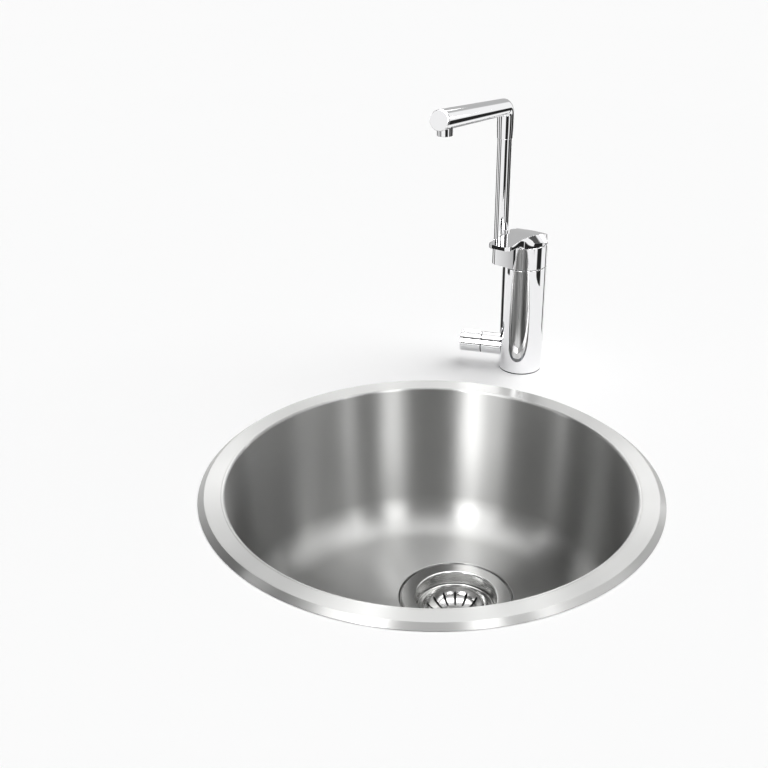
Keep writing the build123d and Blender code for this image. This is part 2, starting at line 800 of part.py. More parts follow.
with BuildPart() as cartridge_nut:
    with BuildSketch(level_plane(tap_x, tap_y, neck_z)):
        Circle(head_bore_r - fit_gap)
        Circle(cartridge_neck_r + fit_gap, mode=Mode.SUBTRACT)
    extrude(amount=cartridge_nut_height)
    with BuildSketch(level_plane(tap_x, tap_y, neck_z + cartridge_nut_height / 2)):
        with PolarLocations((head_bore_r + cartridge_neck_r) / 2, clamp_count):
            Circle(stem_r / 2)
    extrude(amount=cartridge_nut_height, mode=Mode.SUBTRACT)
save(cartridge_nut.part, "cartridge_nut")

# Lever carrier: turns with the stem and holds the lever's pin in two ears
with BuildSketch() as ear_side:
    with Locations((-lever_pin_back, lever_pin_z)):
        Circle(ear_round_r)
    with Locations((-lever_pin_back, carrier_z)):
        Rectangle(2 * ear_round_r, lever_pin_z - carrier_z, align=(Align.CENTER, Align.MIN))
    with Locations((-lever_pin_back, lever_pin_z)):
        Circle(lever_pin_r + fit_gap, mode=Mode.SUBTRACT)

lever_side = upright_plane(tap_x, tap_y, lever_angle)
with BuildPart() as lever_carrier:
    with BuildSketch(level_plane(tap_x, tap_y, carrier_z)):
        Circle(carrier_r)
    extrude(amount=carrier_thickness)
    for side in (-1, 1):
        with BuildSketch(lever_side.offset(side * ear_spacing / 2)):
            add(ear_side.sketch)
        extrude(amount=ear_width / 2, both=True)
    with BuildSketch(level_plane(tap_x, tap_y, neck_z - overrun + clear_gap)):
        Circle(stem_r)
    extrude(amount=carrier_z - neck_z + overrun - clear_gap)
save(lever_carrier.part, "lever_carrier")

with BuildPart() as lever_pin:
    with BuildSketch(lever_side):
        with Locations((-lever_pin_back, lever_pin_z)):
            Circle(lever_pin_r)
    extrude(amount=lever_pin_length / 2, both=True)
save(lever_pin.part, "lever_pin")

# Lever: a round cap that flows out into a flat blade over the bowl
notch_r = riser_foot_r + 2 * clear_gap
notch_sweep = lever_turn_away + lever_turn_towards_riser + notch_lift_angle
lever_height = max(lever_tip_top, lever_hump_top) + overrun
rear_rise = (lever_cap_r - lever_pin_back) * tan(radians(lever_lift_angle)) + clear_gap
with BuildSketch() as lever_outline:
    Circle(lever_cap_r)
    with BuildLine():
        Polyline(
            (0, lever_cap_r),
            (lever_neck_reach, lever_neck_width / 2),
            (lever_reach, lever_tip_width / 2),
            (lever_reach, -lever_tip_width / 2),
            (lever_neck_reach, -lever_neck_width / 2),
            (0, -lever_cap_r),
            close=True,
        )
    make_face()
    fillet(lever_outline.vertices().group_by(Axis.X)[-1], lever_tip_round_r)

with BuildSketch() as lever_profile:
    with BuildLine():
        Polyline(
            (lever_reach, lever_tip_top),
            (lever_reach, lever_tip_top - lever_blade_thickness),
            (lever_dip_reach, lever_blade_dip - lever_blade_thickness),
            (lever_cap_r, 0),
            (-lever_pin_back, 0),
            (-lever_cap_r, rear_rise),
            (-lever_cap_r, lever_rear_top),
        )
        Spline(
            (-lever_cap_r, lever_rear_top),
            (lever_hump_reach, lever_hump_top),
            (lever_dip_reach, lever_blade_dip),
            (lever_reach, lever_tip_top),
            tangents=[
                (lever_cap_r, lever_hump_top - lever_rear_top),
                (lever_reach, lever_tip_top - lever_blade_dip),
            ],
        )
    make_face()

notch_arc = CenterArc((0, 0), socket_offset, -lever_turn_away, notch_sweep)
pocket_width = ear_spacing + ear_width + 2 * pocket_gap
pocket_top = lever_pin_rise + ear_round_r + clear_gap
with BuildPart() as lever:
    with BuildSketch(level_plane(tap_x, tap_y, lever_z, lever_angle)):
        add(lever_outline.sketch)
    extrude(amount=lever_height)
    with BuildSketch(upright_plane(tap_x, tap_y, lever_angle, lever_z)):
        add(lever_profile.sketch)
    extrude(amount=lever_cap_r, both=True, mode=Mode.INTERSECT)
    with BuildSketch(level_plane(tap_x, tap_y, lever_z, socket_angle)):
        SlotArc(notch_arc, 2 * notch_r)
    extrude(amount=lever_height, mode=Mode.SUBTRACT)
    with BuildSketch(level_plane(tap_x, tap_y, lever_z, lever_angle)):
        with Locations((-lever_pin_back, 0)):
            Rectangle(2 * (ear_round_r + pocket_gap), pocket_width)
    extrude(amount=pocket_top, mode=Mode.SUBTRACT)
    with BuildSketch(lever_side):
        with Locations((-lever_pin_back, lever_pin_z)):
            Circle(lever_pin_r + fit_gap)
    extrude(amount=(lever_pin_length + pocket_gap) / 2, both=True, mode=Mode.SUBTRACT)
save(lever.part, "lever")

# Swivel bush in the socket
bush_r = socket_bore_r - fit_gap
save(ring(riser_x, riser_y, socket_floor_z, head_top_z, riser_spigot_r + fit_gap, bush_r), "swivel_bush")

# Riser: the spout's upright tube, with a narrow spigot in the bush
spigot_z = socket_floor_z + 2 * waterway_r
riser_foot_z = head_top_z + clear_gap
elbow_foot_z = arm_height - elbow_socket_drop
elbow_bore_r = elbow_r - arm_wall
oring_heights = [spigot_z + share * (head_top_z - spigot_z) for share in oring_places_share]
with BuildPart() as riser:
    with BuildSketch(level_plane(riser_x, riser_y, spigot_z)):
        Circle(riser_spigot_r)
    extrude(amount=riser_foot_z - spigot_z)
    with BuildSketch(level_plane(riser_x, riser_y, riser_foot_z)):
        Circle(riser_foot_r)
    extrude(amount=riser_foot_height)
    with BuildSketch(level_plane(riser_x, riser_y, riser_foot_z)):
        Circle(riser_r)
    extrude(amount=elbow_foot_z - riser_foot_z)
    with BuildSketch(level_plane(riser_x, riser_y, elbow_foot_z)):
        Circle(elbow_bore_r - fit_gap)
    extrude(amount=elbow_socket_rise)
    with BuildSketch(level_plane(riser_x, riser_y, spigot_z)):
        Circle(riser_bore_r)
    extrude(amount=arm_height, mode=Mode.SUBTRACT)
    with BuildSketch(upright_plane(riser_x, riser_y)):
        with Locations(*[(riser_spigot_r, height) for height in oring_heights]):
            Rectangle(4 * oring_r, 2 * oring_r)
    revolve(axis=riser_axis, mode=Mode.SUBTRACT)
save(riser.part, "spout_riser")

with BuildPart() as riser_orings:
    with BuildSketch(upright_plane(riser_x, riser_y)):
        with Locations(*[(riser_spigot_r - oring_r + fit_gap, height) for height in oring_heights]):
            Circle(oring_r - fit_gap)
    revolve(axis=riser_axis)
save(riser_orings.part, "riser_orings")

# Elbow and arm: one casting that swells towards the outlet
arm_dir = (
    cos(radians(arm_angle)) * cos(radians(arm_slope)),
    sin(radians(arm_angle)) * cos(radians(arm_slope)),
    sin(radians(arm_slope)),
)
bend_turn = 90 - arm_slope
bend_out = bend_r * (1 - cos(radians(bend_turn)))
bend_up = bend_r * sin(radians(bend_turn))
bend_z = arm_height + bend_out * tan(radians(arm_slope)) - bend_up
arm_side = upright_plane(riser_x, riser_y, arm_angle)
arm_root = (bend_out, bend_z + bend_up)
arm_run = arm_length - bend_out / cos(radians(arm_slope))
arm_body_run = arm_run - end_cap_thickness
arm_axis = Axis(arm_side.from_local_coords((*arm_root, 0)), arm_dir)
bend_axis = Axis(arm_side.from_local_coords((bend_r, bend_z, 0)), arm_side.z_dir)
along = (cos(radians(arm_slope)), sin(radians(arm_slope)))
across = (-along[1], along[0])


def arm_point(run, out):
    """A point of the arm's side view: so far along its axis and so far out from it."""
    return (
        arm_root[0] + run * along[0] + out * across[0],
        arm_root[1] + run * along[1] + out * across[1],
    )


def arm_solid(root_r, end_r, foot_r, run):
    """The upright socket, the bend and the arm, with the radii given."""
    with BuildPart() as made:
        with BuildSketch(arm_side):
            Polygon(
                (0, elbow_foot_z),
                (foot_r, elbow_foot_z),
                (root_r, elbow_foot_z + elbow_socket_rise),
                (root_r, bend_z),
                (0, bend_z),
                align=None,
            )
        revolve(axis=riser_axis)
        with BuildSketch(level_plane(riser_x, riser_y, bend_z)):
            Circle(root_r)
        revolve(axis=bend_axis, revolution_arc=-bend_turn)
        with BuildSketch(arm_side):
            Polygon(
                arm_point(0, 0),
                arm_point(0, root_r),
                arm_point(run, end_r),
                arm_point(run, 0),
                align=None,
            )
        revolve(axis=arm_axis)
    return made.part


aerator_run = arm_run - aerator_back
aerator_place = arm_point(aerator_run, 0)
aerator_centre = arm_side.from_local_coords((*aerator_place, 0))
aerator_mouth_z = aerator_place[1] - arm_end_r - aerator_drop
aerator_top_z = aerator_place[1] - arm_end_r + aerator_rise
arm_outer = arm_solid(elbow_r, arm_end_r, riser_r + clear_gap, arm_body_run)
arm_inner = arm_solid(elbow_bore_r, arm_end_r - arm_wall, elbow_bore_r, arm_body_run)
with BuildPart() as arm:
    add(arm_outer)
    add(arm_inner, mode=Mode.SUBTRACT)
    with BuildSketch(level_plane(aerator_centre.X, aerator_centre.Y, aerator_mouth_z)):
        Circle(aerator_r + fit_gap)
    extrude(amount=aerator_top_z - aerator_mouth_z, mode=Mode.SUBTRACT)
save(arm.part, "spout_arm")

# Flat cap that closes the arm's end
with BuildPart() as end_cap:
    with BuildSketch(arm_side):
        Polygon(
            arm_point(arm_body_run, 0),
            arm_point(arm_body_run, arm_end_r - end_cap_inset),
            arm_point(arm_run - end_cap_chamfer, arm_end_r - end_cap_inset),
            arm_point(arm_run, arm_end_r - end_cap_inset - end_cap_chamfer),
            arm_point(arm_run, 0),
            align=None,
        )
    revolve(axis=arm_axis)
save(end_cap.part, "spout_end_cap")

# Aerator: a threaded collar with a perforated insert
collar = ring(
    aerator_centre.X, aerator_centre.Y, aerator_mouth_z, aerator_top_z, aerator_r - aerator_wall, aerator_r
)
save(collar, "aerator_collar")

insert_z = aerator_mouth_z + aerator_insert_inset
insert_r = aerator_r - aerator_wall - fit_gap
with BuildPart() as insert:
    with BuildSketch(level_plane(aerator_centre.X, aerator_centre.Y, insert_z)):
        Circle(insert_r)
        for ring_share, ring_count in zip(aerator_ring_shares, aerator_ring_counts):
            with PolarLocations(ring_share * insert_r, ring_count):
                Circle(aerator_hole_r, mode=Mode.SUBTRACT)
    extrude(amount=aerator_insert_height)
save(insert.part, "aerator_insert")

# Shut-off valve: a fixed stub, its inner works and a turning knob
valve_turn = radians(valve_angle)
valve_dir = (cos(valve_turn), sin(valve_turn), 0)


def valve_plane(reach):
    """A plane square to the valve's axis, so far out from the tap's axis, its y upwards."""
    origin = (tap_x + reach * valve_dir[0], tap_y + reach * valve_dir[1], valve_height)
    return Plane(origin=origin, x_dir=(-valve_dir[1], valve_dir[0], 0), z_dir=valve_dir)


with BuildPart() as valve_stub:
    with BuildSketch(valve_plane(body_bore_r)):
        Circle(valve_r)
    extrude(amount=valve_seam_reach - body_bore_r)
    with BuildSketch(level_plane(tap_x, tap_y, 0)):
        Circle(tap_r + fit_gap)
    extrude(amount=body_height, mode=Mode.SUBTRACT)
    with BuildSketch(valve_plane(body_bore_r)):
        Circle(valve_spigot_r)
    extrude(amount=valve_seam_reach - body_bore_r)
    with BuildSketch(valve_plane(body_bore_r - overrun)):
        Circle(valve_bore_r)
    extrude(amount=valve_reach, mode=Mode.SUBTRACT)
save(valve_stub.part, "valve_stub")

valve_works_reach = valve_knob_reach + valve_knob_bore_depth - clear_gap
with BuildPart() as valve_works:
    with BuildSketch(valve_plane(tap_r)):
        Circle(valve_bore_r - fit_gap)
    extrude(amount=valve_works_reach - tap_r)
    with BuildSketch(valve_plane(tap_r)):
        Circle(valve_stem_r + fit_gap)
    extrude(amount=valve_works_reach, mode=Mode.SUBTRACT)
save(valve_works.part, "valve_works")

with BuildPart() as valve_stem:
    with BuildSketch(valve_plane(tap_r + clear_gap)):
        Circle(valve_stem_r)
    extrude(amount=valve_stem_reach - tap_r - clear_gap)
save(valve_stem.part, "valve_stem")

rib_reach = valve_reach - valve_rib_end_gap - valve_rib_length
with BuildPart() as valve_knob:
    with BuildSketch(valve_plane(valve_knob_reach)):
        Circle(valve_r)
    extrude(amount=valve_reach - valve_knob_reach)
    chamfer(valve_knob.faces().sort_by(Axis((0, 0, 0), valve_dir))[-1].edges(), valve_knob_chamfer)
    with BuildSketch(valve_plane(0).offset(rib_reach)):
        with Locations((0, valve_r + valve_rib_proud)):
            Rectangle(valve_rib_width, valve_rib_width, align=(Align.CENTER, Align.MAX))
    extrude(amount=valve_rib_length)
    with BuildSketch(valve_plane(valve_knob_reach)):
        Circle(valve_knob_bore_r)
    extrude(amount=valve_knob_bore_depth, mode=Mode.SUBTRACT)
    with BuildSketch(valve_plane(valve_knob_reach)):
        Circle(valve_stem_r + fit_gap)
    extrude(amount=valve_stem_reach - valve_knob_reach, mode=Mode.SUBTRACT)
save(valve_knob.part, "valve_knob")
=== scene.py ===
"""Dresses the inset sink, its basket strainer and its mixer tap. Metres, in the part's own frame."""

import json
from math import atan2, cos, pi, radians, sin, tan

import bmesh
import bpy
from mathutils import Matrix, Vector


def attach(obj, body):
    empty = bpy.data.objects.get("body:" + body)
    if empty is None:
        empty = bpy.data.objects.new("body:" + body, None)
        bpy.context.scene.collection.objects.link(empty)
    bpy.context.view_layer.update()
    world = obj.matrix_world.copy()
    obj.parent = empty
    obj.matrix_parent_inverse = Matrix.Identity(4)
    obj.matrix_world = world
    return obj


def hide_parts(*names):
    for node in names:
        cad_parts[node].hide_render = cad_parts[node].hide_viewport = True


bl_info = {
    "name": "Inset sink with strainer and mixer tap",
    "version": (1, 0, 0),
    "blender": (4, 5, 0),
    "location": "3D View > Sidebar > Sink",
    "description": "Builds the sink, its strainer waste and its tap on their frame",
    "category": "Object",
}

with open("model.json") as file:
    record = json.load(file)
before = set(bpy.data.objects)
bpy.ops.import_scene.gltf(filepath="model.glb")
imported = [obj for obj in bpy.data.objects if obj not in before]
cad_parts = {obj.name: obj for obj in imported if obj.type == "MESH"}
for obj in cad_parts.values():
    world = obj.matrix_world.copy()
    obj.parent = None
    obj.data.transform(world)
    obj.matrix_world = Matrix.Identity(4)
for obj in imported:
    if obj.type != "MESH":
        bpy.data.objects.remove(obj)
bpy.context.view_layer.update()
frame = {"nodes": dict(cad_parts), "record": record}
MM = 0.001
WELD = 0.0005  # Millimetres within which spun points are one
LEVEL = 0.01  # Millimetres within which points count as level
UP = Vector((0, 0, 1))


def size(label, text, value):
    """A length in millimetres that a user may change."""
    return bpy.props.FloatProperty(
        name=label, description=text, default=value * MM, unit="LENGTH", precision=5
    )


def angle(label, text, value):
    """An angle in degrees that a user may change."""
    return bpy.props.FloatProperty(
        name=label, description=text, default=radians(value), subtype="ANGLE", unit="ROTATION"
    )


def colour(label, text, value):
    """A colour written as sRGB hex that a user may change."""
    return bpy.props.FloatVectorProperty(
        name=label, description=text, default=linear(value), subtype="COLOR", size=3, min=0.0, max=1.0
    )


def linear(code):
    """Scene-linear red, green and blue of an sRGB hex code."""
    parts = [int(code[i : i + 2], 16) / 255 for i in (0, 2, 4)]
    return tuple(c / 12.92 if c <= 0.04045 else ((c + 0.055) / 1.055) ** 2.4 for c in parts)


class SinkColours(bpy.types.PropertyGroup):
    """The finishes' colours."""

    satin_steel: colour("Satin steel", "Pressed and brushed stainless sheet of the bowl", "a9a9a8")
    polished_steel: colour("Polished steel", "Polished stainless of the strainer", "c6c6c5")
    zinc: colour("Zinc", "Zinc-plated clamps, rail and screws", "b9bcbf")
    chrome: colour("Chrome", "Chrome plate of the tap", "f2f2f3")
    brass: colour("Brass", "Machined brass fittings", "c9a667")
    rubber: colour("Rubber", "Black rubber seals", "161616")
    bitumen: colour("Sound pad", "Felted bitumen pad under the bowl", "2a2a2b")
    grey_plastic: colour("Waste plastic", "Moulded housing under the bowl", "55585b")
    white_plastic: colour("White plastic", "Moulded bush, cartridge and aerator insert", "dedcd6")
    black_plastic: colour("Black plastic", "Joint ring and index marks", "101012")
    floor: colour("Worktop", "White worktop of the stage", "f6f6f6")


class BowlSizes(bpy.types.PropertyGroup):
    """The bowl's and its waste's sizes."""

    rim_r: size("Rim radius", "Outer edge of the rim", 220.0)
    ridge_r: size("Ridge radius", "Ridge where the rim's bevel starts", 214.2)
    mouth_r: size("Mouth radius", "Inner edge of the rim", 195.0)
    corner_r: size("Foot radius", "Where the wall and the floor would meet", 188.0)
    cove_r: size("Cove radius", "Rounding between the wall and the floor", 38.0)
    rim_z: size("Rim height", "Ridge above the worktop", 4.9)
    mouth_z: size("Mouth height", "Inner edge above the worktop", 4.6)
    depth: size("Depth", "From the mouth to the floor", 170.0)
    sheet: size("Sheet", "Thickness of the bowl's steel", 1.0)
    waste_x: size("Waste to the right", "Centre of the waste", 28.3)
    waste_y: size("Waste to the back", "Centre of the waste", 45.0)
    recess_r: size("Recess radius", "Recess pressed around the waste", 60.2)
    recess: size("Recess depth", "How far the recess is pressed in", 2.5)
    hole_r: size("Hole radius", "Waste hole in the floor", 47.0)
    flange_r: size("Flange radius", "Outer edge of the strainer's flange", 58.0)
    flange_rise: size("Flange rise", "Flange above the floor", 0.4)
    basket_r: size("Basket radius", "Rim of the strainer basket", 38.3)
    slots: bpy.props.IntProperty(
        name="Slots", description="Slots around the basket", default=16, min=4, max=48
    )


class TapSizes(bpy.types.PropertyGroup):
    """The tap's sizes."""

    x: size("To the right", "Axis of the tap", 102.4)
    y: size("To the back", "Axis of the tap", 265.8)
    r: size("Radius", "Radius of the tap's body", 24.3)
    foot: size("Foot", "Underside of the body above the worktop", 0.8)
    body: size("Body height", "Top of the body", 125.4)
    head: size("Head foot", "Underside of the head", 126.0)
    head_top: size("Head top", "Top of the head", 151.5)
    socket_off: size("Socket offset", "Riser's axis from the tap's axis", 27.4)
    socket_turn: angle("Socket turn", "Direction of the riser's socket", 177.0)
    socket_r: size("Socket radius", "Outside of the riser's socket", 8.6)
    lever_turn: angle("Lever turn", "Direction of the lever", 238.0)
    lever_z: size("Lever height", "Underside of the lever's cap", 152.0)
    lever_reach: size("Lever reach", "Tip of the lever from the tap's axis", 63.0)
    riser_r: size("Riser radius", "Radius of the spout's upright tube", 7.7)
    elbow_r: size("Elbow radius", "Radius of the spout at its elbow", 8.8)
    arm_r: size("Arm end radius", "Radius of the arm at its outlet", 10.0)
    bend_r: size("Bend radius", "Radius of the elbow's centre line", 9.8)
    arm_z: size("Arm height", "Arm's axis above the riser", 299.5)
    arm_reach: size("Arm length", "From the riser's axis to the arm's end", 167.4)
    arm_turn: angle("Arm turn", "Direction of the arm", 244.8)
    arm_slope: angle("Arm slope", "Rise of the arm", 7.0)
    valve_turn: angle("Valve turn", "Direction of the side valve", 166.0)
    valve_z: size("Valve height", "Axis of the side valve", 25.0)
    valve_r: size("Valve radius", "Radius of the side valve", 12.2)
    valve_seam: size("Valve seam", "Joint of the valve from the tap's axis", 44.6)
    valve_reach: size("Valve reach", "End of the valve from the tap's axis", 69.5)


class StageSizes(bpy.types.PropertyGroup):
    """The stage's sizes."""

    worktop_r: size("Worktop radius", "Half the width of the pale worktop", 9000.0)
    cutout_r: size("Cut-out radius", "Hole in the worktop for the bowl", 207.0)
    camera_back: size("Camera back", "Distance of the camera in front of the bowl", 917.32)
    camera_height: size("Camera height", "Height of the camera over the worktop", 561.56)


def add_node(tree, kind, settings=(), **inputs):
    """Adds a shader node, with its own settings and its sockets' values or links."""
    node = tree.nodes.new(kind)
    for key, value in dict(settings).items():
        setattr(node, key, value)
    for key, value in inputs.items():
        socket = node.inputs[int(key[1:])] if key[0] == "_" else node.inputs[key.replace("_", " ")]
        if isinstance(value, bpy.types.NodeSocket):
            tree.links.new(value, socket)
        else:
            socket.default_value = value
    return node


def calc(tree, operation, *values, kind="ShaderNodeMath"):
    """The result of a math node; each value is a number, a vector or a node's socket."""
    sockets = {f"_{k}": value for k, value in enumerate(values)}
    node = add_node(tree, kind, {"operation": operation}, **sockets)
    return node.outputs["Value" if operation == "LENGTH" else 0]


def remap(tree, value, span, levels=(0.0, 1.0), kind="LINEAR"):
    """A value carried from one span to another, and held there beyond its ends."""
    return add_node(
        tree,
        "ShaderNodeMapRange",
        {"interpolation_type": kind},
        _0=value,
        _1=span[0],
        _2=span[1],
        _3=levels[0],
        _4=levels[1],
    ).outputs[0]


def mixed(tree, share, first, second):
    """Two values mixed by a share of the second."""
    return add_node(tree, "ShaderNodeMix", _0=share, _2=first, _3=second).outputs[0]


def noise(tree, place, grain_mm, detail, **more):
    """A noise whose grain is given in millimetres."""
    scale = 1 / (grain_mm * MM)
    return add_node(tree, "ShaderNodeTexNoise", Vector=place, Scale=scale, Detail=detail, **more).outputs[0]


def new_material(name):
    """An empty material with its output, one principled shader and the piece's own coordinates."""
    material = bpy.data.materials.new(name)
    material.use_nodes = True
    tree = material.node_tree
    tree.nodes.clear()
    shader = add_node(tree, "ShaderNodeBsdfPrincipled")
    add_node(tree, "ShaderNodeOutputMaterial", Surface=shader.outputs[0])
    return material, tree, shader, add_node(tree, "ShaderNodeTexCoord").outputs["Object"]


def roughen(tree, shader, grit, bump_mm):
    """Raises a shader's surface with a grain."""
    bump = add_node(tree, "ShaderNodeBump", Distance=bump_mm * MM, Height=grit, Strength=1.0)
    tree.links.new(bump.outputs[0], shader.inputs["Normal"])


def make_metal(tree, shader, rgb, grit, cloud, gloss):
    """Makes a shader metallic, with a gloss that varies with its grain and with broad clouds."""
    rough, spread = gloss
    both = calc(tree, "ADD", grit, cloud)
    ranged = remap(tree, both, (0.6, 1.4), (rough - spread, rough + spread))
    tree.links.new(ranged, shader.inputs["Roughness"])
    shader.inputs["Base Color"].default_value = (*rgb, 1)
    shader.inputs["Metallic"].default_value = 1.0


def finish_metal(name, rgb, rough, spread, grain=(1.0, 1.0, 1.0), grain_mm=1.0, bump_mm=0.0):
    """A metal whose gloss varies in a stretched grain."""
    material, tree, shader, place = new_material(name)
    stretched = add_node(tree, "ShaderNodeMapping", _0=place, Scale=grain).outputs[0]
    grit = noise(tree, stretched, grain_mm, 4.0, Roughness=0.6)
    make_metal(tree, shader, rgb, grit, noise(tree, place, 45, 2.0), (rough, spread))
    if bump_mm:
        roughen(tree, shader, grit, bump_mm)
    return material


def finish_spun_steel(name, rgb, rough, spread, aniso, grain_mm=0.9, bump_mm=0.0002):
    """Steel brushed in rings around the upright axis, so that reflections smear across the rings."""
    material, tree, shader, place = new_material(name)
    axes = add_node(tree, "ShaderNodeSeparateXYZ", Vector=place).outputs
    flat = calc(tree, "MULTIPLY", place, (1, 1, 0), kind="ShaderNodeVectorMath")
    out = calc(tree, "LENGTH", flat, kind="ShaderNodeVectorMath")
    along_ring = calc(tree, "MULTIPLY", calc(tree, "ARCTAN2", axes["Y"], axes["X"]), 0.012)
    rings = add_node(tree, "ShaderNodeCombineXYZ", X=out, Y=along_ring, Z=axes["Z"]).outputs[0]
    fine = noise(tree, rings, grain_mm, 3.0)
    make_metal(tree, shader, rgb, fine, noise(tree, place, 60, 2.0), (rough, spread))
    roughen(tree, shader, fine, bump_mm)
    tangent = add_node(tree, "ShaderNodeTangent", {"direction_type": "RADIAL", "axis": "Z"})
    tree.links.new(tangent.outputs[0], shader.inputs["Tangent"])
    shader.inputs["Anisotropic"].default_value = aniso
    shader.inputs["Anisotropic Rotation"].default_value = 0.25
    return material


def finish_soft(name, rgb, rough, grain_mm, bump_mm, fleck=0.08, spread=0.06):
    """A moulded plastic, rubber or felt with a fine grain in its colour, gloss and surface."""
    material, tree, shader, place = new_material(name)
    grit = noise(tree, place, grain_mm, 3.0)
    dark = [c * (1 - fleck) for c in rgb]
    light = [min(1, c * (1 + fleck)) for c in rgb]
    blended = add_node(tree, "ShaderNodeMix", {"data_type": "RGBA"}, _0=grit, _6=(*dark, 1), _7=(*light, 1))
    tree.links.new(blended.outputs[2], shader.inputs["Base Color"])
    ranged = remap(tree, grit, (0.3, 0.7), (rough - spread, rough + spread))
    tree.links.new(ranged, shader.inputs["Roughness"])
    roughen(tree, shader, grit, bump_mm)
    return material


FINISHES = {}


class SINK_OT_finishes(bpy.types.Operator):
    """Makes every finish and puts it on the frame's own pieces"""

    bl_idname = "sink.finishes"
    bl_label = "Finishes"

    def execute(self, context):
        tone = context.scene.sink_colours
        # Stainless sheet, pressed, spun and brushed in rings around the bowl
        FINISHES["satin_steel"] = finish_spun_steel(
            "spun_satin_stainless", tone.satin_steel, rough=0.37, spread=0.02, aniso=1.0
        )
        # Stainless, pressed and polished
        FINISHES["polished_steel"] = finish_metal(
            "polished_stainless",
            tone.polished_steel,
            rough=0.2,
            spread=0.03,
            grain=(1, 1, 3),
            grain_mm=1.2,
            bump_mm=0.0003,
        )
        # Mild steel, folded or turned, then zinc-plated
        FINISHES["zinc_steel"] = finish_metal(
            "zinc_plated_steel", tone.zinc, rough=0.34, spread=0.08, grain_mm=4.0, bump_mm=0.003
        )
        # Brass castings and tubes, polished and chromium-plated
        FINISHES["chrome_tap"] = finish_metal(
            "polished_chrome_plate", tone.chrome, rough=0.035, spread=0.012, grain_mm=6.0
        )
        # Brass, turned and left bare
        FINISHES["brass_fittings"] = finish_metal(
            "turned_brass", tone.brass, rough=0.24, spread=0.05, grain=(1, 1, 14), grain_mm=1.0, bump_mm=0.002
        )
        # Rubber rings, moulded
        FINISHES["black_rubber"] = finish_soft(
            "moulded_black_rubber", tone.rubber, rough=0.6, grain_mm=0.9, bump_mm=0.02
        )
        # Bitumen felt, cut from sheet and stuck on
        FINISHES["bitumen"] = finish_soft(
            "bitumen_felt", tone.bitumen, rough=0.82, grain_mm=1.4, bump_mm=0.15, fleck=0.25
        )
        # Polypropylene, injection moulded
        FINISHES["grey_plastic"] = finish_soft(
            "moulded_grey_polypropylene", tone.grey_plastic, rough=0.42, grain_mm=1.1, bump_mm=0.01
        )
        # Acetal, injection moulded
        FINISHES["white_plastic"] = finish_soft(
            "moulded_white_acetal", tone.white_plastic, rough=0.36, grain_mm=1.0, bump_mm=0.005, fleck=0.02
        )
        # Gloss plastic, injection moulded
        FINISHES["black_plastic"] = finish_soft(
            "moulded_black_plastic", tone.black_plastic, rough=0.22, grain_mm=1.2, bump_mm=0.004
        )
        for part in frame["record"]["subparts"]:
            piece = frame["nodes"][part["node"]]
            piece.data.materials.clear()
            piece.data.materials.append(FINISHES[part["material_slot"]])
        return {"FINISHED"}


def make_piece(name, bm, body, slot, replaces=(), sharp=35):
    """Turns a bmesh in millimetres into a finished piece that rides on a body."""
    bmesh.ops.scale(bm, vec=(MM, MM, MM), verts=bm.verts)
    mesh = bpy.data.meshes.new(name)
    for face in bm.faces:
        face.smooth = True
    bm.to_mesh(mesh)
    bm.free()
    mesh.set_sharp_from_angle(angle=radians(sharp))
    piece = bpy.data.objects.new(name, mesh)
    bpy.context.collection.objects.link(piece)
    mesh.materials.append(FINISHES[slot])
    even = piece.modifiers.new("even_normals", "WEIGHTED_NORMAL")
    even.keep_sharp = True
    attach(piece, body)
    if replaces:
        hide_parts(*replaces)
    return piece


def rounded(corners, steps=6):
    """Points of an outline whose corners (x, z, radius) are rounded off."""
    points = []
    for i, (x, z, radius) in enumerate(corners):
        here = Vector((x, z))
        if not radius:
            points.append(here)
            continue
        before = (Vector(corners[i - 1][:2]) - here).normalized()
        after = (Vector(corners[(i + 1) % len(corners)][:2]) - here).normalized()
        half = before.angle(after) / 2
        centre = here + (before + after).normalized() * radius / sin(half)
        start = here + before * radius / tan(half) - centre
        sweep = (here + after * radius / tan(half) - centre).angle_signed(start)
        points += [centre + Matrix.Rotation(sweep * k / steps, 2) @ start for k in range(steps + 1)]
    return points


def offset_line(points, gap):
    """The same line, moved to its right-hand side."""
    moved = []
    for i, point in enumerate(points):
        along = (points[min(i + 1, len(points) - 1)] - points[max(i - 1, 0)]).normalized()
        moved.append(point + Vector((along.y, -along.x)) * gap)
    return moved


def spin_outline(bm, outline, at=(0, 0), steps=128, closed=True):
    """Spins an outline (r, z) around the upright axis through a point."""
    old = set(bm.verts)
    verts = [bm.verts.new((point[0], 0, point[1])) for point in outline]
    edges = [bm.edges.new(pair) for pair in zip(verts, verts[1:])]
    if closed:
        edges.append(bm.edges.new((verts[-1], verts[0])))
    centre = (0, 0, 0)
    bmesh.ops.spin(
        bm, geom=verts + edges, cent=centre, axis=UP, dvec=centre, angle=2 * pi, steps=steps, use_merge=True
    )
    new = [v for v in bm.verts if v not in old]
    bmesh.ops.remove_doubles(bm, verts=new, dist=WELD)
    new = [v for v in bm.verts if v not in old]
    bmesh.ops.translate(bm, verts=new, vec=(*at, 0))


def spun(outline, at=(0, 0), steps=128, closed=True):
    """A new bmesh with one outline spun around an upright axis."""
    bm = bmesh.new()
    spin_outline(bm, outline, at, steps, closed)
    bmesh.ops.recalc_face_normals(bm, faces=bm.faces)
    return bm


def laid(outline, lay, steps=96):
    """A new bmesh with one open outline spun, then laid down by a matrix."""
    bm = spun(outline, steps=steps, closed=False)
    bmesh.ops.transform(bm, matrix=lay, verts=bm.verts)
    return bm


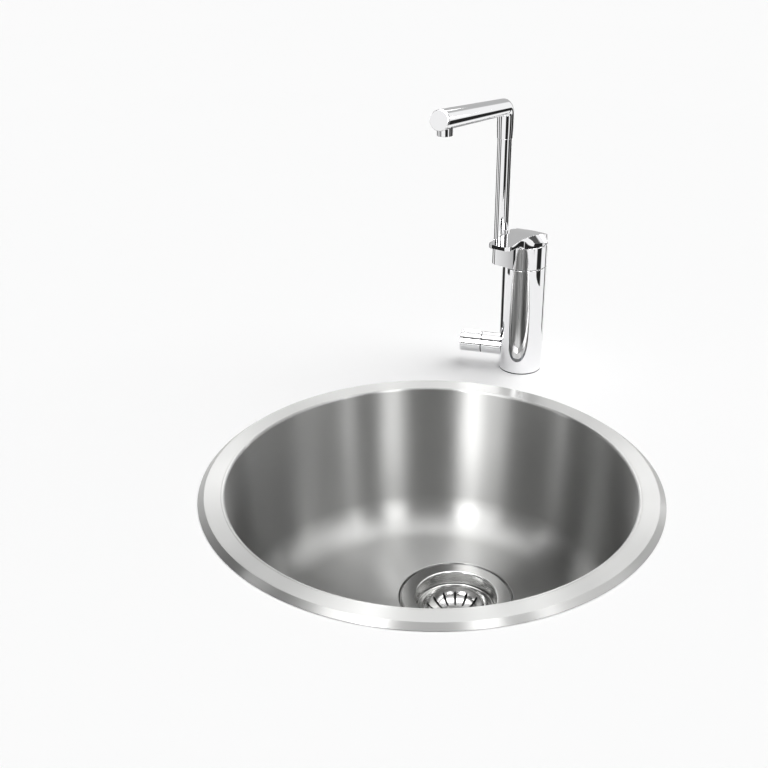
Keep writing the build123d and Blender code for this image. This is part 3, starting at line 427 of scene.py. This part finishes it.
def carve(bm, cutter):
    """Cuts one closed bmesh out of another."""
    made = []
    for part, name in ((bm, "uncut"), (cutter, "cutter")):
        mesh = bpy.data.meshes.new(name)
        part.to_mesh(mesh)
        part.free()
        made.append(bpy.data.objects.new(name, mesh))
        bpy.context.collection.objects.link(made[-1])
    cut = made[0].modifiers.new("cut", "BOOLEAN")
    cut.operation = "DIFFERENCE"
    cut.solver = "EXACT"
    cut.object = made[1]
    graph = bpy.context.evaluated_depsgraph_get()
    result = bmesh.new()
    result.from_mesh(made[0].evaluated_get(graph).to_mesh())
    for thing in made:
        mesh = thing.data
        bpy.data.objects.remove(thing)
        bpy.data.meshes.remove(mesh)
    if not result.faces:
        raise RuntimeError("the cut left nothing")
    return result


def add_round(bm, radius, length, matrix, segments):
    """Adds a closed round bar whose foot lies at the matrix's origin, along its z."""
    made = bmesh.ops.create_cone(
        bm, cap_ends=True, segments=segments, radius1=radius, radius2=radius, depth=length, matrix=matrix
    )["verts"]
    bmesh.ops.translate(bm, verts=made, vec=matrix.to_3x3() @ Vector((0, 0, length / 2)))


def soften(bm, edges, width, segments):
    """Rounds edges off."""
    bmesh.ops.bevel(
        bm, geom=edges, affect="EDGES", offset=width, segments=segments, profile=0.5, material=-1
    )


def hulled(rings):
    """The closed hull around level circles, each given by its place, radius and segments."""
    bm = bmesh.new()
    for matrix, radius, segments in rings:
        bmesh.ops.create_circle(bm, segments=segments, radius=radius, matrix=matrix)
    bmesh.ops.delete(bm, geom=bm.edges[:], context="EDGES_FACES")
    shell = bmesh.ops.convex_hull(bm, input=bm.verts)
    bmesh.ops.delete(bm, geom=shell["geom_interior"], context="VERTS")
    bmesh.ops.dissolve_limit(bm, angle_limit=radians(0.3), verts=bm.verts, edges=bm.edges)
    bmesh.ops.recalc_face_normals(bm, faces=bm.faces)
    return bm


def in_mm(group):
    """A property group's lengths in millimetres, its angles and counts as they are."""
    values = {}
    for key, prop in group.bl_rna.properties.items():
        if prop.type in {"FLOAT", "INT"} and not prop.is_array:
            values[key] = getattr(group, key) * (1000 if prop.unit == "LENGTH" else 1)
    return type("Sizes", (), values)


class SINK_OT_bowl(bpy.types.Operator):
    """Spins the pressed bowl with its rim and the recess for the waste"""

    bl_idname = "sink.bowl"
    bl_label = "Bowl"

    def execute(self, context):
        b = in_mm(context.scene.sink_bowl)
        floor = b.mouth_z - b.depth
        flat_r = b.corner_r - b.cove_r - 3
        rim_foot, cut_back = 0.5, 1.55
        groove = ((3.2, 0.0), (3.5, 0.22), (4.1, 0.16))  # How far outside the mouth, and how deep
        top = rounded(
            [
                (flat_r, floor, 0),
                (b.corner_r, floor, b.cove_r),
                (b.mouth_r, b.mouth_z, 2.8),
                *[(b.mouth_r + out, b.mouth_z - down, 0) for out, down in groove],
                (b.ridge_r, b.rim_z, 1.2),
                (b.rim_r, rim_foot, 0),
            ],
            14,
        )
        under = offset_line(top, b.sheet)
        under[-1] = Vector((b.rim_r - cut_back * b.sheet, rim_foot))
        bm = bmesh.new()
        spin_outline(bm, top + under[::-1], steps=256, closed=False)
        at = (b.waste_x, b.waste_y)
        dip = floor - b.recess
        edge_r, foot_r = b.recess_r + 2.5, b.recess_r - 0.5
        shelf = rounded(
            [(edge_r, floor, 0), (b.recess_r, floor, 1.0), (foot_r, dip, 0.8), (b.hole_r, dip, 0)], 5
        )
        below = offset_line(shelf, -b.sheet)
        spin_outline(bm, shelf + below[::-1], at, steps=256, closed=False)
        rings = [e for e in bm.edges if e.is_boundary]
        for level in (floor, floor - b.sheet):
            ring = [e for e in rings if all(abs(v.co.z - level) < LEVEL for v in e.verts)]
            bmesh.ops.bridge_loops(bm, edges=ring)
        bmesh.ops.recalc_face_normals(bm, faces=bm.faces)
        make_piece("bowl_pressing", bm, "fixed", "satin_steel", ["bowl"], 50)
        return {"FINISHED"}


class SINK_OT_waste(bpy.types.Operator):
    """Makes the strainer's cup, its basket and the basket's knob"""

    bl_idname = "sink.waste"
    bl_label = "Waste"

    def execute(self, context):
        b = in_mm(context.scene.sink_bowl)
        at = (b.waste_x, b.waste_y)
        flange = b.mouth_z - b.depth + b.flange_rise
        ledge_drop, cup_depth, sheet = 15.5, 41, 1.7
        ledge = flange - ledge_drop
        floor = flange - cup_depth
        screw_r, floor_r, wall_r, ledge_r, mouth_r, neck_r = 3.1, 33.0, 36.4, 41.2, 43.0, 44.9
        top = rounded(
            [
                (screw_r, floor, 0),
                (floor_r, floor, 2.4),
                (wall_r, ledge, 1.2),
                (ledge_r, ledge, 1.2),
                (mouth_r, flange, 2.2),
                (b.flange_r - 1.2, flange, 0.8),
                (b.flange_r, flange - 1.0, 0.3),
                (b.flange_r, flange - sheet, 0),
            ],
            8,
        )
        under = offset_line(top[:-1], sheet)[:-8]
        inside = [p for p in under if p.y < flange - 2.2]
        cup = spun(top + [Vector((neck_r, flange - sheet))] + inside[::-1], at, 192)
        holes = bmesh.new()
        hole_count, circle_r, hole_r, length = 6, 21, 8, 12
        for k in range(hole_count):
            spot = Vector((circle_r, 0, 0))
            spot.rotate(Matrix.Rotation(2 * pi * k / hole_count, 3, "Z"))
            foot = Matrix.Translation((at[0] + spot.x, at[1] + spot.y, floor - length / 2))
            add_round(holes, hole_r, length, foot, 48)
        make_piece("strainer_cup_pressing", carve(cup, holes), "fixed", "polished_steel", ["strainer_cup"])

        sheet, seat_gap, dish_depth, rim_width = 1.2, 0.3, 13.5, 2.6
        seat = ledge + seat_gap + sheet
        dish = seat - dish_depth
        wide, narrow = b.basket_r - rim_width, 17.0
        bow = ((wide - narrow) ** 2 + (seat - dish) ** 2) / (2 * (seat - dish))
        reach = atan2(wide - narrow, bow - (seat - dish))
        top = [Vector((2.45, dish))]
        leans = [reach * k / 24 for k in range(25)]
        top += [Vector((narrow + bow * sin(lean), dish + bow * (1 - cos(lean)))) for lean in leans]
        top += [Vector((b.basket_r - 0.5, seat)), Vector((b.basket_r, seat - 0.4))]
        under = offset_line(top, sheet)
        under[-1] = Vector((b.basket_r, seat - 1.0))
        under[-2] = Vector((b.basket_r - 0.4, seat - sheet))
        under[-3] = Vector((under[-3].x, min(under[-3].y, seat - sheet)))
        basket = spun(top + under[::-1], at, 256)
        slots = bmesh.new()
        ends = ((20.6, 1.0), (31.8, 1.45))  # How far out each end of a slot lies, and its radius
        levels = (dish - 8, seat + 8)
        for k in range(b.slots):
            turn = Matrix.Rotation(2 * pi * k / b.slots, 4, "Z")
            slot = hulled(
                [(Matrix.Translation((out, 0, z)), end_r, 24) for out, end_r in ends for z in levels]
            )
            bmesh.ops.transform(slot, matrix=Matrix.Translation((*at, 0)) @ turn, verts=slot.verts)
            spare = bpy.data.meshes.new("slot")
            slot.to_mesh(spare)
            slot.free()
            slots.from_mesh(spare)
            bpy.data.meshes.remove(spare)
        make_piece("basket_pressing", carve(basket, slots), "basket", "polished_steel", ["strainer_basket"])

        knob, post_r, post_foot = dish + 5, 2.4, dish - 7.2
        outline = rounded(
            [
                (0, knob + 4, 0),
                (5.2, knob + 4, 2.4),
                (6.6, knob + 1.5, 1.4),
                (post_r, knob, 0.6),
                (post_r, post_foot, 0),
                (0, post_foot, 0),
            ],
            6,
        )
        make_piece("basket_knob", spun(outline, at, 64, False), "basket", "polished_steel", ["basket_post"])
        return {"FINISHED"}


class SINK_OT_tap(bpy.types.Operator):
    """Makes the tap's body and its head with the socket for the riser"""

    bl_idname = "sink.tap"
    bl_label = "Tap body"

    def execute(self, context):
        t = in_mm(context.scene.sink_tap)
        wall, bulkhead_foot, bulkhead_top, pocket_r = 3.6, 72, 80, 17.45
        bore = t.r - wall
        outline = rounded(
            [
                (0, bulkhead_foot, 0),
                (bore, bulkhead_foot, 0),
                (bore, t.foot, 0),
                (t.r, t.foot, 0.9),
                (t.r, t.body, 0.35),
                (pocket_r, t.body, 0),
                (pocket_r, bulkhead_top, 0),
                (0, bulkhead_top, 0),
            ],
            4,
        )
        tube = spun(outline, (t.x, t.y), 128, False)
        make_piece("tap_body_tube", tube, "fixed", "chrome_tap", ["tap_body"])
        high = t.head_top - t.head
        place = Matrix.Translation((t.x, t.y, t.head)) @ Matrix.Rotation(t.socket_turn, 4, "Z")
        rounds = ((0, t.r, 160), (t.socket_off, t.socket_r, 96))
        rings = []
        for out, radius, count in rounds:
            rings += [(place @ Matrix.Translation((out, 0, z)), radius, count) for z in (0, high)]
        bm = hulled(rings)
        soften(bm, [e for e in bm.edges if e.calc_face_angle(0) > radians(60)], 0.5, 4)
        cartridge_r, cartridge_floor, riser_r, riser_depth = 20.2, 13.6, 6.5, 18
        hollow = bmesh.new()
        add_round(hollow, cartridge_r, high, place @ Matrix.Translation((0, 0, cartridge_floor)), 96)
        socket_floor = high - riser_depth
        add_round(hollow, riser_r, high, place @ Matrix.Translation((t.socket_off, 0, socket_floor)), 48)
        make_piece("tap_head_casting", carve(bm, hollow), "fixed", "chrome_tap", ["tap_head"])
        return {"FINISHED"}


class SINK_OT_lever(bpy.types.Operator):
    """Draws the lever's cap out into its flat blade"""

    bl_idname = "sink.lever"
    bl_label = "Lever"

    def execute(self, context):
        t = in_mm(context.scene.sink_tap)
        cap, reach = t.r - 0.6, t.lever_reach
        bm = bmesh.new()
        stations = [-cap + 0.05, *[-cap + cap * (1 - cos(pi / 2 * k / 14)) for k in range(1, 14)]]
        stations += [2.0 * k for k in range(int(reach / 2) - 2)]
        stations += [reach - LEVER_ROUND + LEVER_ROUND * sin(pi / 2 * k / 8) for k in range(9)]
        face = None
        for s in stations:
            half = lever_half(s, cap, reach)
            high, low = lever_top(s, cap, reach), lever_under(s, cap, reach)
            edge, side = lever_flank(s, half, high - low, reach)
            ring = [(s, half, low), (s, half, low + side), (s, edge, high), (s, -half, high), (s, -half, low)]
            if face is None:
                face = bm.faces.new([bm.verts.new(point) for point in ring])
                continue
            face = grow(bm, face)
            for vert, point in zip(face.verts, ring):
                vert.co = point
        bmesh.ops.recalc_face_normals(bm, faces=bm.faces)
        place = Matrix.Translation((t.x, t.y, t.lever_z)) @ Matrix.Rotation(t.lever_turn, 4, "Z")
        bmesh.ops.transform(bm, matrix=place, verts=bm.verts)

        # The way of the riser's foot past the lever, cut out with some play
        clear, below, tall = t.socket_r + 0.6, 5, 30
        near, far = t.socket_off - clear, t.socket_off + clear + 9
        first, last = radians(-45), radians(14)
        axis = Matrix.Translation((t.x, t.y, t.lever_z - below))
        sweep = bmesh.new()
        corners = ((near, 0), (far, 0), (far, tall), (near, tall))
        wall = sweep.faces.new([sweep.verts.new((x, 0, z)) for x, z in corners])
        centre = (0, 0, 0)
        bmesh.ops.spin(sweep, geom=[wall], cent=centre, axis=UP, dvec=centre, angle=last - first, steps=40)
        bmesh.ops.recalc_face_normals(sweep, faces=sweep.faces)
        turn = Matrix.Rotation(t.socket_turn + first, 4, "Z")
        bmesh.ops.transform(sweep, matrix=axis @ turn, verts=sweep.verts)
        bm = carve(bm, sweep)
        for lean in (first, last):
            end = bmesh.new()
            turn = Matrix.Rotation(t.socket_turn + lean, 4, "Z")
            add_round(end, clear, tall, axis @ turn @ Matrix.Translation((t.socket_off, 0, 0)), 64)
            bm = carve(bm, end)
        piece = make_piece("lever_casting", bm, "lever", "chrome_tap", ["lever"], 30)
        soft = piece.modifiers.new("soft_edges", "BEVEL")
        soft.width = 0.6 * MM
        soft.segments = 3
        soft.limit_method = "ANGLE"
        soft.angle_limit = radians(35)
        piece.modifiers.move(1, 0)
        return {"FINISHED"}


def blend(a, b, share):
    """A smooth step from one value to another."""
    share = min(max(share, 0), 1)
    return a + (b - a) * share * share * (3 - 2 * share)


LEVER_ROUND = 6  # Millimetres of rounding at the end of the lever's blade


def lever_half(s, cap, reach):
    """Half of the lever's width, so far along it."""
    neck, tip, neck_from, neck_to = 12.0, 13.5, 30, 32
    straight_to = reach - LEVER_ROUND
    if s > straight_to:
        lean = (s - straight_to) / LEVER_ROUND
        return tip - LEVER_ROUND + LEVER_ROUND * max(1 - lean * lean, 0) ** 0.5
    straight = blend(neck, tip, (s - neck_from) / (straight_to - neck_from))
    if s < 0:
        return max(cap * cap - s * s, 0.05) ** 0.5
    return blend(cap, straight, s / neck_to)


def lever_top(s, cap, reach):
    """Height of the lever's top above its cap's underside, so far along it."""
    hump, back, top, tip = 17, 5.0, 12.6, 13.0
    if s < hump:
        share = (s + cap) / (hump + cap)
        return back + (top - back) * sin(share * pi / 2) ** 1.05
    return blend(top, tip, (s - hump) / (reach - hump))


def lever_flank(s, half, thick, reach):
    """How far out the lever's sloping right flank ends on top, and how high it starts, so far along it."""
    back, bend, waist, full = -12, 11, 31, 36
    back_edge, bend_edge, waist_edge, tip_edge = 19.1, 14.6, 11.5, 13.5
    back_side, bend_side = 0.6, 5.0
    if s < bend:
        share = (s - back) / (bend - back)
        edge = back_edge + (bend_edge - back_edge) * share
        side = back_side + (bend_side - back_side) * max(share, 0)
    else:
        edge = blend(bend_edge, waist_edge, (s - bend) / (waist - bend))
        edge += (tip_edge - waist_edge) * max(s - waist, 0) / (reach - waist)
        side = blend(bend_side, thick - 2, (s - bend) / (full - bend))
    return min(half, edge), min(side, thick - 0.8)


def lever_under(s, cap, reach):
    """Height of the lever's underside above its cap's underside, so far along it."""
    back, bend = -12, 40
    back_rise, bend_rise, tip_rise = 3.43, 7.4, 8.6
    if s < back:
        return back_rise * (back - s) / (cap + back)
    if s < cap:
        return 0.0
    if s < bend:
        return bend_rise * (s - cap) / (bend - cap)
    return bend_rise + (tip_rise - bend_rise) * (s - bend) / (reach - bend)


class SINK_OT_spout(bpy.types.Operator):
    """Makes the riser, the arm with its elbow, the end cap and the aerator's collar"""

    bl_idname = "sink.spout"
    bl_label = "Spout"

    def execute(self, context):
        t = in_mm(context.scene.sink_tap)
        rx = t.x + t.socket_off * cos(t.socket_turn)
        ry = t.y + t.socket_off * sin(t.socket_turn)
        spigot_r, spigot_depth, collar = 5.0, 12.8, 2.4
        foot = t.head_top + 0.3
        neck, spigot = foot + collar, t.head_top - spigot_depth
        socket = t.arm_z - 33
        top = socket + 0.1
        outline = rounded(
            [
                (0, foot, 0),
                (t.socket_r, foot, 0.3),
                (t.socket_r, neck, 0.7),
                (t.riser_r, neck, 0.3),
                (t.riser_r, top, 0),
                (0, top, 0),
            ],
            4,
        )
        riser = spun(outline, (rx, ry), 96, False)
        add_round(riser, spigot_r, foot - spigot, Matrix.Translation((rx, ry, spigot)), 48)
        make_piece("riser_tube", riser, "spout", "chrome_tap", ["spout_riser"])

        slope, turn = t.arm_slope, pi / 2 - t.arm_slope
        out = t.bend_r * (1 - cos(turn))
        start = t.arm_z + out * tan(slope) - t.bend_r * sin(turn)
        run = t.arm_reach - out / cos(slope)
        edge, flare, bends = 0.3, 13, 28
        bm = bmesh.new()
        disc = bmesh.ops.create_circle(bm, cap_ends=True, segments=96, radius=t.riser_r + edge)["verts"]
        bmesh.ops.translate(bm, verts=disc, vec=(0, 0, socket))
        bm.faces.ensure_lookup_table()
        face = bm.faces[0]
        steps = [(socket + edge, t.riser_r + 2 * edge), (socket + flare, t.elbow_r), (start, t.elbow_r)]
        for height, radius in steps:
            face = grow(bm, face)
            resize(bm, face, radius, Vector((0, 0, height - face.calc_center_median().z)))
        for _ in range(bends):
            face = grow(bm, face)
            spin = Matrix.Rotation(turn / bends, 3, "Y")
            bmesh.ops.rotate(bm, cent=(t.bend_r, 0, start), matrix=spin, verts=face.verts)
        along = Vector((cos(slope), 0, sin(slope)))
        cap, lead, lip = 2.6, 0.4, 0.2
        steps = [(lead, t.elbow_r), (run - cap - lead - lip, t.arm_r), (lip, t.arm_r - lip)]
        for length, radius in steps:
            face = grow(bm, face)
            resize(bm, face, radius, along * length)
        place = Matrix.Translation((rx, ry, 0)) @ Matrix.Rotation(t.arm_turn, 4, "Z")
        bmesh.ops.transform(bm, matrix=place, verts=bm.verts)
        bmesh.ops.recalc_face_normals(bm, faces=bm.faces)
        make_piece("arm_casting", bm, "spout", "chrome_tap", ["spout_arm"])

        root = Vector((out, 0, start + t.bend_r * sin(turn)))
        lay = place @ Matrix.Translation(root) @ Matrix.Rotation(pi / 2 - slope, 4, "Y")
        disc_r = t.arm_r - 0.35
        outline = rounded([(0, run - cap, 0), (disc_r, run - cap, 0), (disc_r, run, 0.5), (0, run, 0)], 4)
        make_piece("arm_end_disc", laid(outline, lay), "spout", "chrome_tap", ["spout_end_cap"])

        nozzle_back, below, bore_r, ring_r, high = 14, 5.2, 6.15, 7.6, 11
        nozzle = lay @ Vector((0, 0, run - nozzle_back))
        mouth = nozzle.z - t.arm_r - below
        top = mouth + high
        outline = rounded([(bore_r, mouth, 0.3), (ring_r, mouth, 0.4), (ring_r, top, 0), (bore_r, top, 0)], 4)
        make_piece("aerator_ring", spun(outline, nozzle.xy, 64), "spout", "chrome_tap", ["aerator_collar"])
        return {"FINISHED"}


def resize(bm, face, radius, move):
    """Brings a round face to a radius about its middle, then moves it."""
    centre = face.calc_center_median()
    scale = radius / (face.verts[0].co - centre).length
    bmesh.ops.scale(bm, vec=(scale, scale, scale), verts=face.verts, space=Matrix.Translation(-centre))
    bmesh.ops.translate(bm, verts=face.verts, vec=move)


def grow(bm, face):
    """Extrudes one end face and returns the new one; the old one stays only where it closes the start."""
    first = len(face.edges[0].link_faces) == 1
    new = bmesh.ops.extrude_face_region(bm, geom=[face], use_keep_orig=first)["geom"]
    if not first:
        bmesh.ops.delete(bm, geom=[f for f in bm.faces if f == face], context="FACES_ONLY")
    return next(f for f in new if isinstance(f, bmesh.types.BMFace))


class SINK_OT_valve(bpy.types.Operator):
    """Makes the side valve's stub and its ribbed knob"""

    bl_idname = "sink.valve"
    bl_label = "Side valve"

    def execute(self, context):
        t = in_mm(context.scene.sink_tap)
        lay = Matrix.Translation((t.x, t.y, t.valve_z)) @ Matrix.Rotation(t.valve_turn, 4, "Z")
        lay = lay @ Matrix.Rotation(pi / 2, 4, "Y")
        root, seam, ring_r, ring_width = 21.5, t.valve_seam, t.valve_r - 0.7, 0.9
        outline = rounded([(0, root, 0), (t.valve_r, root, 0), (t.valve_r, seam, 0.35), (0, seam, 0)], 4)
        make_piece("valve_stub_casting", laid(outline, lay), "fixed", "chrome_tap", ["valve_stub"])
        end = seam + ring_width
        outline = [Vector(point) for point in ((0, seam), (ring_r, seam), (ring_r, end), (0, end))]
        make_piece("valve_seam_ring", laid(outline, lay, 64), "fixed", "black_rubber")
        near, far = seam + 1, t.valve_reach
        outline = rounded([(0, near, 0), (t.valve_r, near, 0.35), (t.valve_r, far, 0.9), (0, far, 0)], 5)
        bm = spun(outline, steps=96, closed=False)
        rib_thick, rib_width, rib_length, rib_inset = 2.2, 6.6, 20.0, 2.2
        rib = bmesh.ops.create_cube(bm, size=1)["verts"]
        bmesh.ops.scale(bm, vec=(rib_thick, rib_width, rib_length), verts=rib)
        bmesh.ops.translate(bm, verts=rib, vec=(-t.valve_r, 0, far - rib_inset - rib_length / 2))
        edges = {e for v in rib for e in v.link_edges if abs(e.verts[0].co.x - e.verts[1].co.x) > 1}
        soften(bm, list(edges), 2.6, 8)
        crest = -t.valve_r - rib_thick / 2
        level = [e for e in bm.edges if all(abs(v.co.x - crest) < LEVEL for v in e.verts)]
        soften(bm, [e for e in level if e.calc_face_angle(0) > 1], 0.5, 3)
        bmesh.ops.transform(bm, matrix=lay, verts=bm.verts)
        make_piece("valve_knob_casting", bm, "valve_knob", "chrome_tap", ["valve_knob"])
        return {"FINISHED"}


# Each lamp's name, place, sides in metres and watts
LAMPS = (
    ("softbox_above", (0.0, 0.1, 1.7), (2.2, 0.8), 20),
    ("softbox_back", (0.0, 2.3, 1.45), (1.7, 1.0), 15.5),
    ("strip_left", (-0.74, -1.53, 0.8), (0.4, 1.2), 25),
    ("strip_right", (0.7, -1.55, 0.8), (0.4, 1.2), 15),
    ("strip_side", (1.34, -1.05, 0.8), (0.16, 1.2), 4),
    ("strip_rear", (1.2, 1.15, 0.8), (0.1, 1.2), 2),
    ("softbox_right", (1.45, -0.1, 1.3), (1.7, 0.45), 10),
    ("strip_soft", (-1.12, -1.29, 0.8), (0.4, 1.2), 9),
    ("strip_far_left", (-1.69, -0.18, 0.8), (0.14, 1.2), 3),
)


class SINK_OT_stage(bpy.types.Operator):
    """Sets the white worktop, the lamps, the surroundings and the camera"""

    bl_idname = "sink.stage"
    bl_label = "Stage"

    def execute(self, context):
        scene = context.scene
        sizes = scene.sink_stage
        scene.view_settings.view_transform = "Standard"
        bm = bmesh.new()
        bmesh.ops.create_circle(bm, segments=128, radius=sizes.worktop_r)
        bmesh.ops.create_circle(bm, segments=128, radius=sizes.cutout_r)
        bmesh.ops.bridge_loops(bm, edges=bm.edges[:])
        mesh = bpy.data.meshes.new("worktop")
        bm.to_mesh(mesh)
        bm.free()
        worktop = bpy.data.objects.new("worktop", mesh)
        scene.collection.objects.link(worktop)
        worktop.data.materials.append(stage_white(scene.sink_colours.floor))
        light_surroundings(scene)
        sun = bpy.data.lights.new("soft_daylight", "SUN")
        sun.energy = 2.45
        sun.angle = radians(60)
        holder = bpy.data.objects.new("soft_daylight", sun)
        holder.rotation_euler = (radians(-12), radians(32), 0)
        holder.visible_glossy = False
        scene.collection.objects.link(holder)
        for made in LAMPS:
            lamp(*made)
        focal_px, width_px, sensor_mm = 1120.07, 768, 36
        camera = bpy.data.cameras.new("camera")
        camera.lens = focal_px / width_px * sensor_mm
        camera.sensor_width = sensor_mm
        camera.clip_start = 0.05
        eye = bpy.data.objects.new("camera", camera)
        right = Vector((0.99905, 0.04263, -0.00911))
        upward = Vector((-0.01079, 0.44424, 0.89584))
        back = right.cross(upward)
        turn = Matrix((right, upward, back)).transposed().to_4x4()
        eye.matrix_world = Matrix.Translation((0, -sizes.camera_back, sizes.camera_height)) @ turn
        scene.collection.objects.link(eye)
        scene.camera = eye
        return {"FINISHED"}


def stage_white(rgb):
    """A matt white that metal sees only as a panel around the sink, with the cards beyond its edges."""
    middle, half = (0.082, -0.028, 0), (0.31, 0.362, 1)
    unseen_r = 0.228  # Metres around the bowl's middle that metal doesn't see either
    material = bpy.data.materials.new("white_worktop")
    material.use_nodes = True
    tree = material.node_tree
    tree.nodes.clear()
    place = add_node(tree, "ShaderNodeTexCoord").outputs["Object"]
    offset = calc(tree, "SUBTRACT", place, middle, kind="ShaderNodeVectorMath")
    share = calc(tree, "DIVIDE", offset, half, kind="ShaderNodeVectorMath")
    share = calc(tree, "ABSOLUTE", share, kind="ShaderNodeVectorMath")
    axes = add_node(tree, "ShaderNodeSeparateXYZ", Vector=share).outputs
    beyond = calc(tree, "GREATER_THAN", calc(tree, "MAXIMUM", axes["X"], axes["Y"]), 1.0)
    out = calc(tree, "LENGTH", place, kind="ShaderNodeVectorMath")
    beyond = calc(tree, "MAXIMUM", beyond, calc(tree, "LESS_THAN", out, unseen_r))
    ray = add_node(tree, "ShaderNodeLightPath").outputs
    beyond = calc(tree, "MULTIPLY", beyond, ray["Is Glossy Ray"])
    matt = add_node(tree, "ShaderNodeBsdfDiffuse", Color=(*rgb, 1))
    clear = add_node(tree, "ShaderNodeBsdfTransparent")
    both = add_node(tree, "ShaderNodeMixShader", _0=beyond, _1=matt.outputs[0], _2=clear.outputs[0])
    add_node(tree, "ShaderNodeOutputMaterial", Surface=both.outputs[0])
    return material


# Cards around the stage. Each stop is a direction in degrees from the right, and its brightness.
LOW_CARDS = (
    *((-180, 0.02), (-177, 0.02), (-174, 1), (-163, 1), (-160, 0.02), (-147, 0.02), (-142, 1)),
    *((-90, 1), (-85, 0.02), (-50, 0.02), (-43, 1), (-32, 1), (-26, 0.02), (-2, 0.02), (3, 0.8)),
    *((7, 0.02), (49, 0.02), (53, 1), (66, 1), (74, 0.3), (80, 0.4), (110, 0.4), (116, 0.02)),
    *((140, 0.02), (148, 1), (164, 1), (170, 0.02)),
)
LEVEL_CARDS = (
    *((-180, 0.9), (-115, 1), (-95, 0.3), (-60, 0.4), (-40, 1), (20, 1), (55, 1), (61, 0.5)),
    *((104, 0.5), (125, 0.9)),
)
HIGH_CARDS = (
    *((-180, 0.03), (-150, 0.08), (-128, 0.25), (-105, 0.03), (-80, 0.02), (-60, 0.1), (-20, 0.1)),
    *((17, 0.1), (24, 1), (41, 1), (47, 0.03), (58, 0.03), (66, 0.98), (114, 0.98), (130, 0.04)),
)
LOWEST_CARD = ((-180, 0), (0, 0), (4, 1), (36, 1), (40, 0), (180, 0))


def card_ring(tree, turn, stops):
    """The brightness of a ring of cards in one direction."""
    ramp = tree.nodes.new("ShaderNodeValToRGB")
    bands = ramp.color_ramp
    bands.interpolation = "EASE"
    for k, (degrees, level) in enumerate(stops):
        stop = bands.elements[k] if k < 2 else bands.elements.new(1)
        stop.position = (degrees + 180) / 360
        stop.color = (level, level, level, 1)
    tree.links.new(turn, ramp.inputs[0])
    return ramp.outputs[0]


def light_surroundings(scene):
    """A plain level that lights matt surfaces, and the studio's white walls and dark cards for metal."""
    world = bpy.data.worlds.new("surroundings")
    scene.world = world
    world.use_nodes = True
    tree = world.node_tree
    tree.nodes.clear()
    way = add_node(tree, "ShaderNodeTexCoord").outputs["Generated"]
    way = add_node(tree, "ShaderNodeSeparateXYZ", Vector=way).outputs
    turn = remap(tree, calc(tree, "ARCTAN2", way["Y"], way["X"]), (-pi, pi))
    low, level, high = [card_ring(tree, turn, stops) for stops in (LOW_CARDS, LEVEL_CARDS, HIGH_CARDS)]
    # Where one ring gives way to the next, as the upward part of a direction of length one
    lowest_from, level_from = (-0.32, -0.33), (-0.21, -0.17)
    high_from, ceiling_from = (0.16, 0.2), (0.8, 0.92)
    dip, indirect = -0.25, 0.4  # The high ring starts higher towards the back; matt surfaces get the latter
    lowest = calc(tree, "MULTIPLY", card_ring(tree, turn, LOWEST_CARD), remap(tree, way["Z"], lowest_from))
    low = calc(tree, "MAXIMUM", low, lowest)
    walls = mixed(tree, remap(tree, way["Z"], level_from), low, level)
    behind = calc(tree, "MAXIMUM", way["Y"], 0.0)
    edge = calc(tree, "MULTIPLY_ADD", behind, dip, way["Z"])
    walls = mixed(tree, remap(tree, edge, high_from, kind="SMOOTHSTEP"), walls, high)
    studio = mixed(tree, remap(tree, way["Z"], ceiling_from, kind="SMOOTHSTEP"), walls, 1.0)
    ray = add_node(tree, "ShaderNodeLightPath").outputs
    seen = calc(tree, "MAXIMUM", ray["Is Camera Ray"], ray["Is Transmission Ray"])
    shown = mixed(tree, seen, mixed(tree, ray["Is Glossy Ray"], indirect, studio), 1.0)
    glow = add_node(tree, "ShaderNodeBackground", Color=(1, 1, 1, 1), Strength=shown)
    add_node(tree, "ShaderNodeOutputWorld", Surface=glow.outputs[0])


def lamp(name, place, sides, watts):
    """A rectangular softbox that looks at the bowl."""
    light = bpy.data.lights.new(name, "AREA")
    light.shape = "RECTANGLE"
    light.size, light.size_y = sides
    light.energy = watts
    holder = bpy.data.objects.new(name, light)
    holder.rotation_euler = (-Vector(place)).to_track_quat("-Z", "Y").to_euler()
    holder.location = place
    holder.visible_camera = False
    holder.visible_diffuse = False
    bpy.context.scene.collection.objects.link(holder)


OPERATORS = (
    SINK_OT_finishes,
    SINK_OT_bowl,
    SINK_OT_waste,
    SINK_OT_tap,
    SINK_OT_lever,
    SINK_OT_spout,
    SINK_OT_valve,
    SINK_OT_stage,
)
GROUPS = (
    ("sink_colours", SinkColours),
    ("sink_bowl", BowlSizes),
    ("sink_tap", TapSizes),
    ("sink_stage", StageSizes),
)


class SINK_PT_panel(bpy.types.Panel):
    """Lists the steps that build the sink"""

    bl_idname = "SINK_PT_panel"
    bl_label = "Sink"
    bl_space_type = "VIEW_3D"
    bl_region_type = "UI"
    bl_category = "Sink"

    def draw(self, context):
        for step in OPERATORS:
            self.layout.operator(step.bl_idname)
        for key, group in GROUPS:
            for prop in group.__annotations__:
                self.layout.prop(getattr(context.scene, key), prop)


def register():
    for step in (*OPERATORS, SINK_PT_panel):
        bpy.utils.register_class(step)
    for key, group in GROUPS:
        bpy.utils.register_class(group)
        setattr(bpy.types.Scene, key, bpy.props.PointerProperty(type=group))


def unregister():
    for key, group in reversed(GROUPS):
        delattr(bpy.types.Scene, key)
        bpy.utils.unregister_class(group)
    for step in (SINK_PT_panel, *reversed(OPERATORS)):
        bpy.utils.unregister_class(step)


def main():
    register()
    bpy.ops.sink.finishes()
    bpy.ops.sink.bowl()
    bpy.ops.sink.waste()
    bpy.ops.sink.tap()
    bpy.ops.sink.lever()
    bpy.ops.sink.spout()
    bpy.ops.sink.valve()
    bpy.ops.sink.stage()


if __name__ == "__main__":
    main()
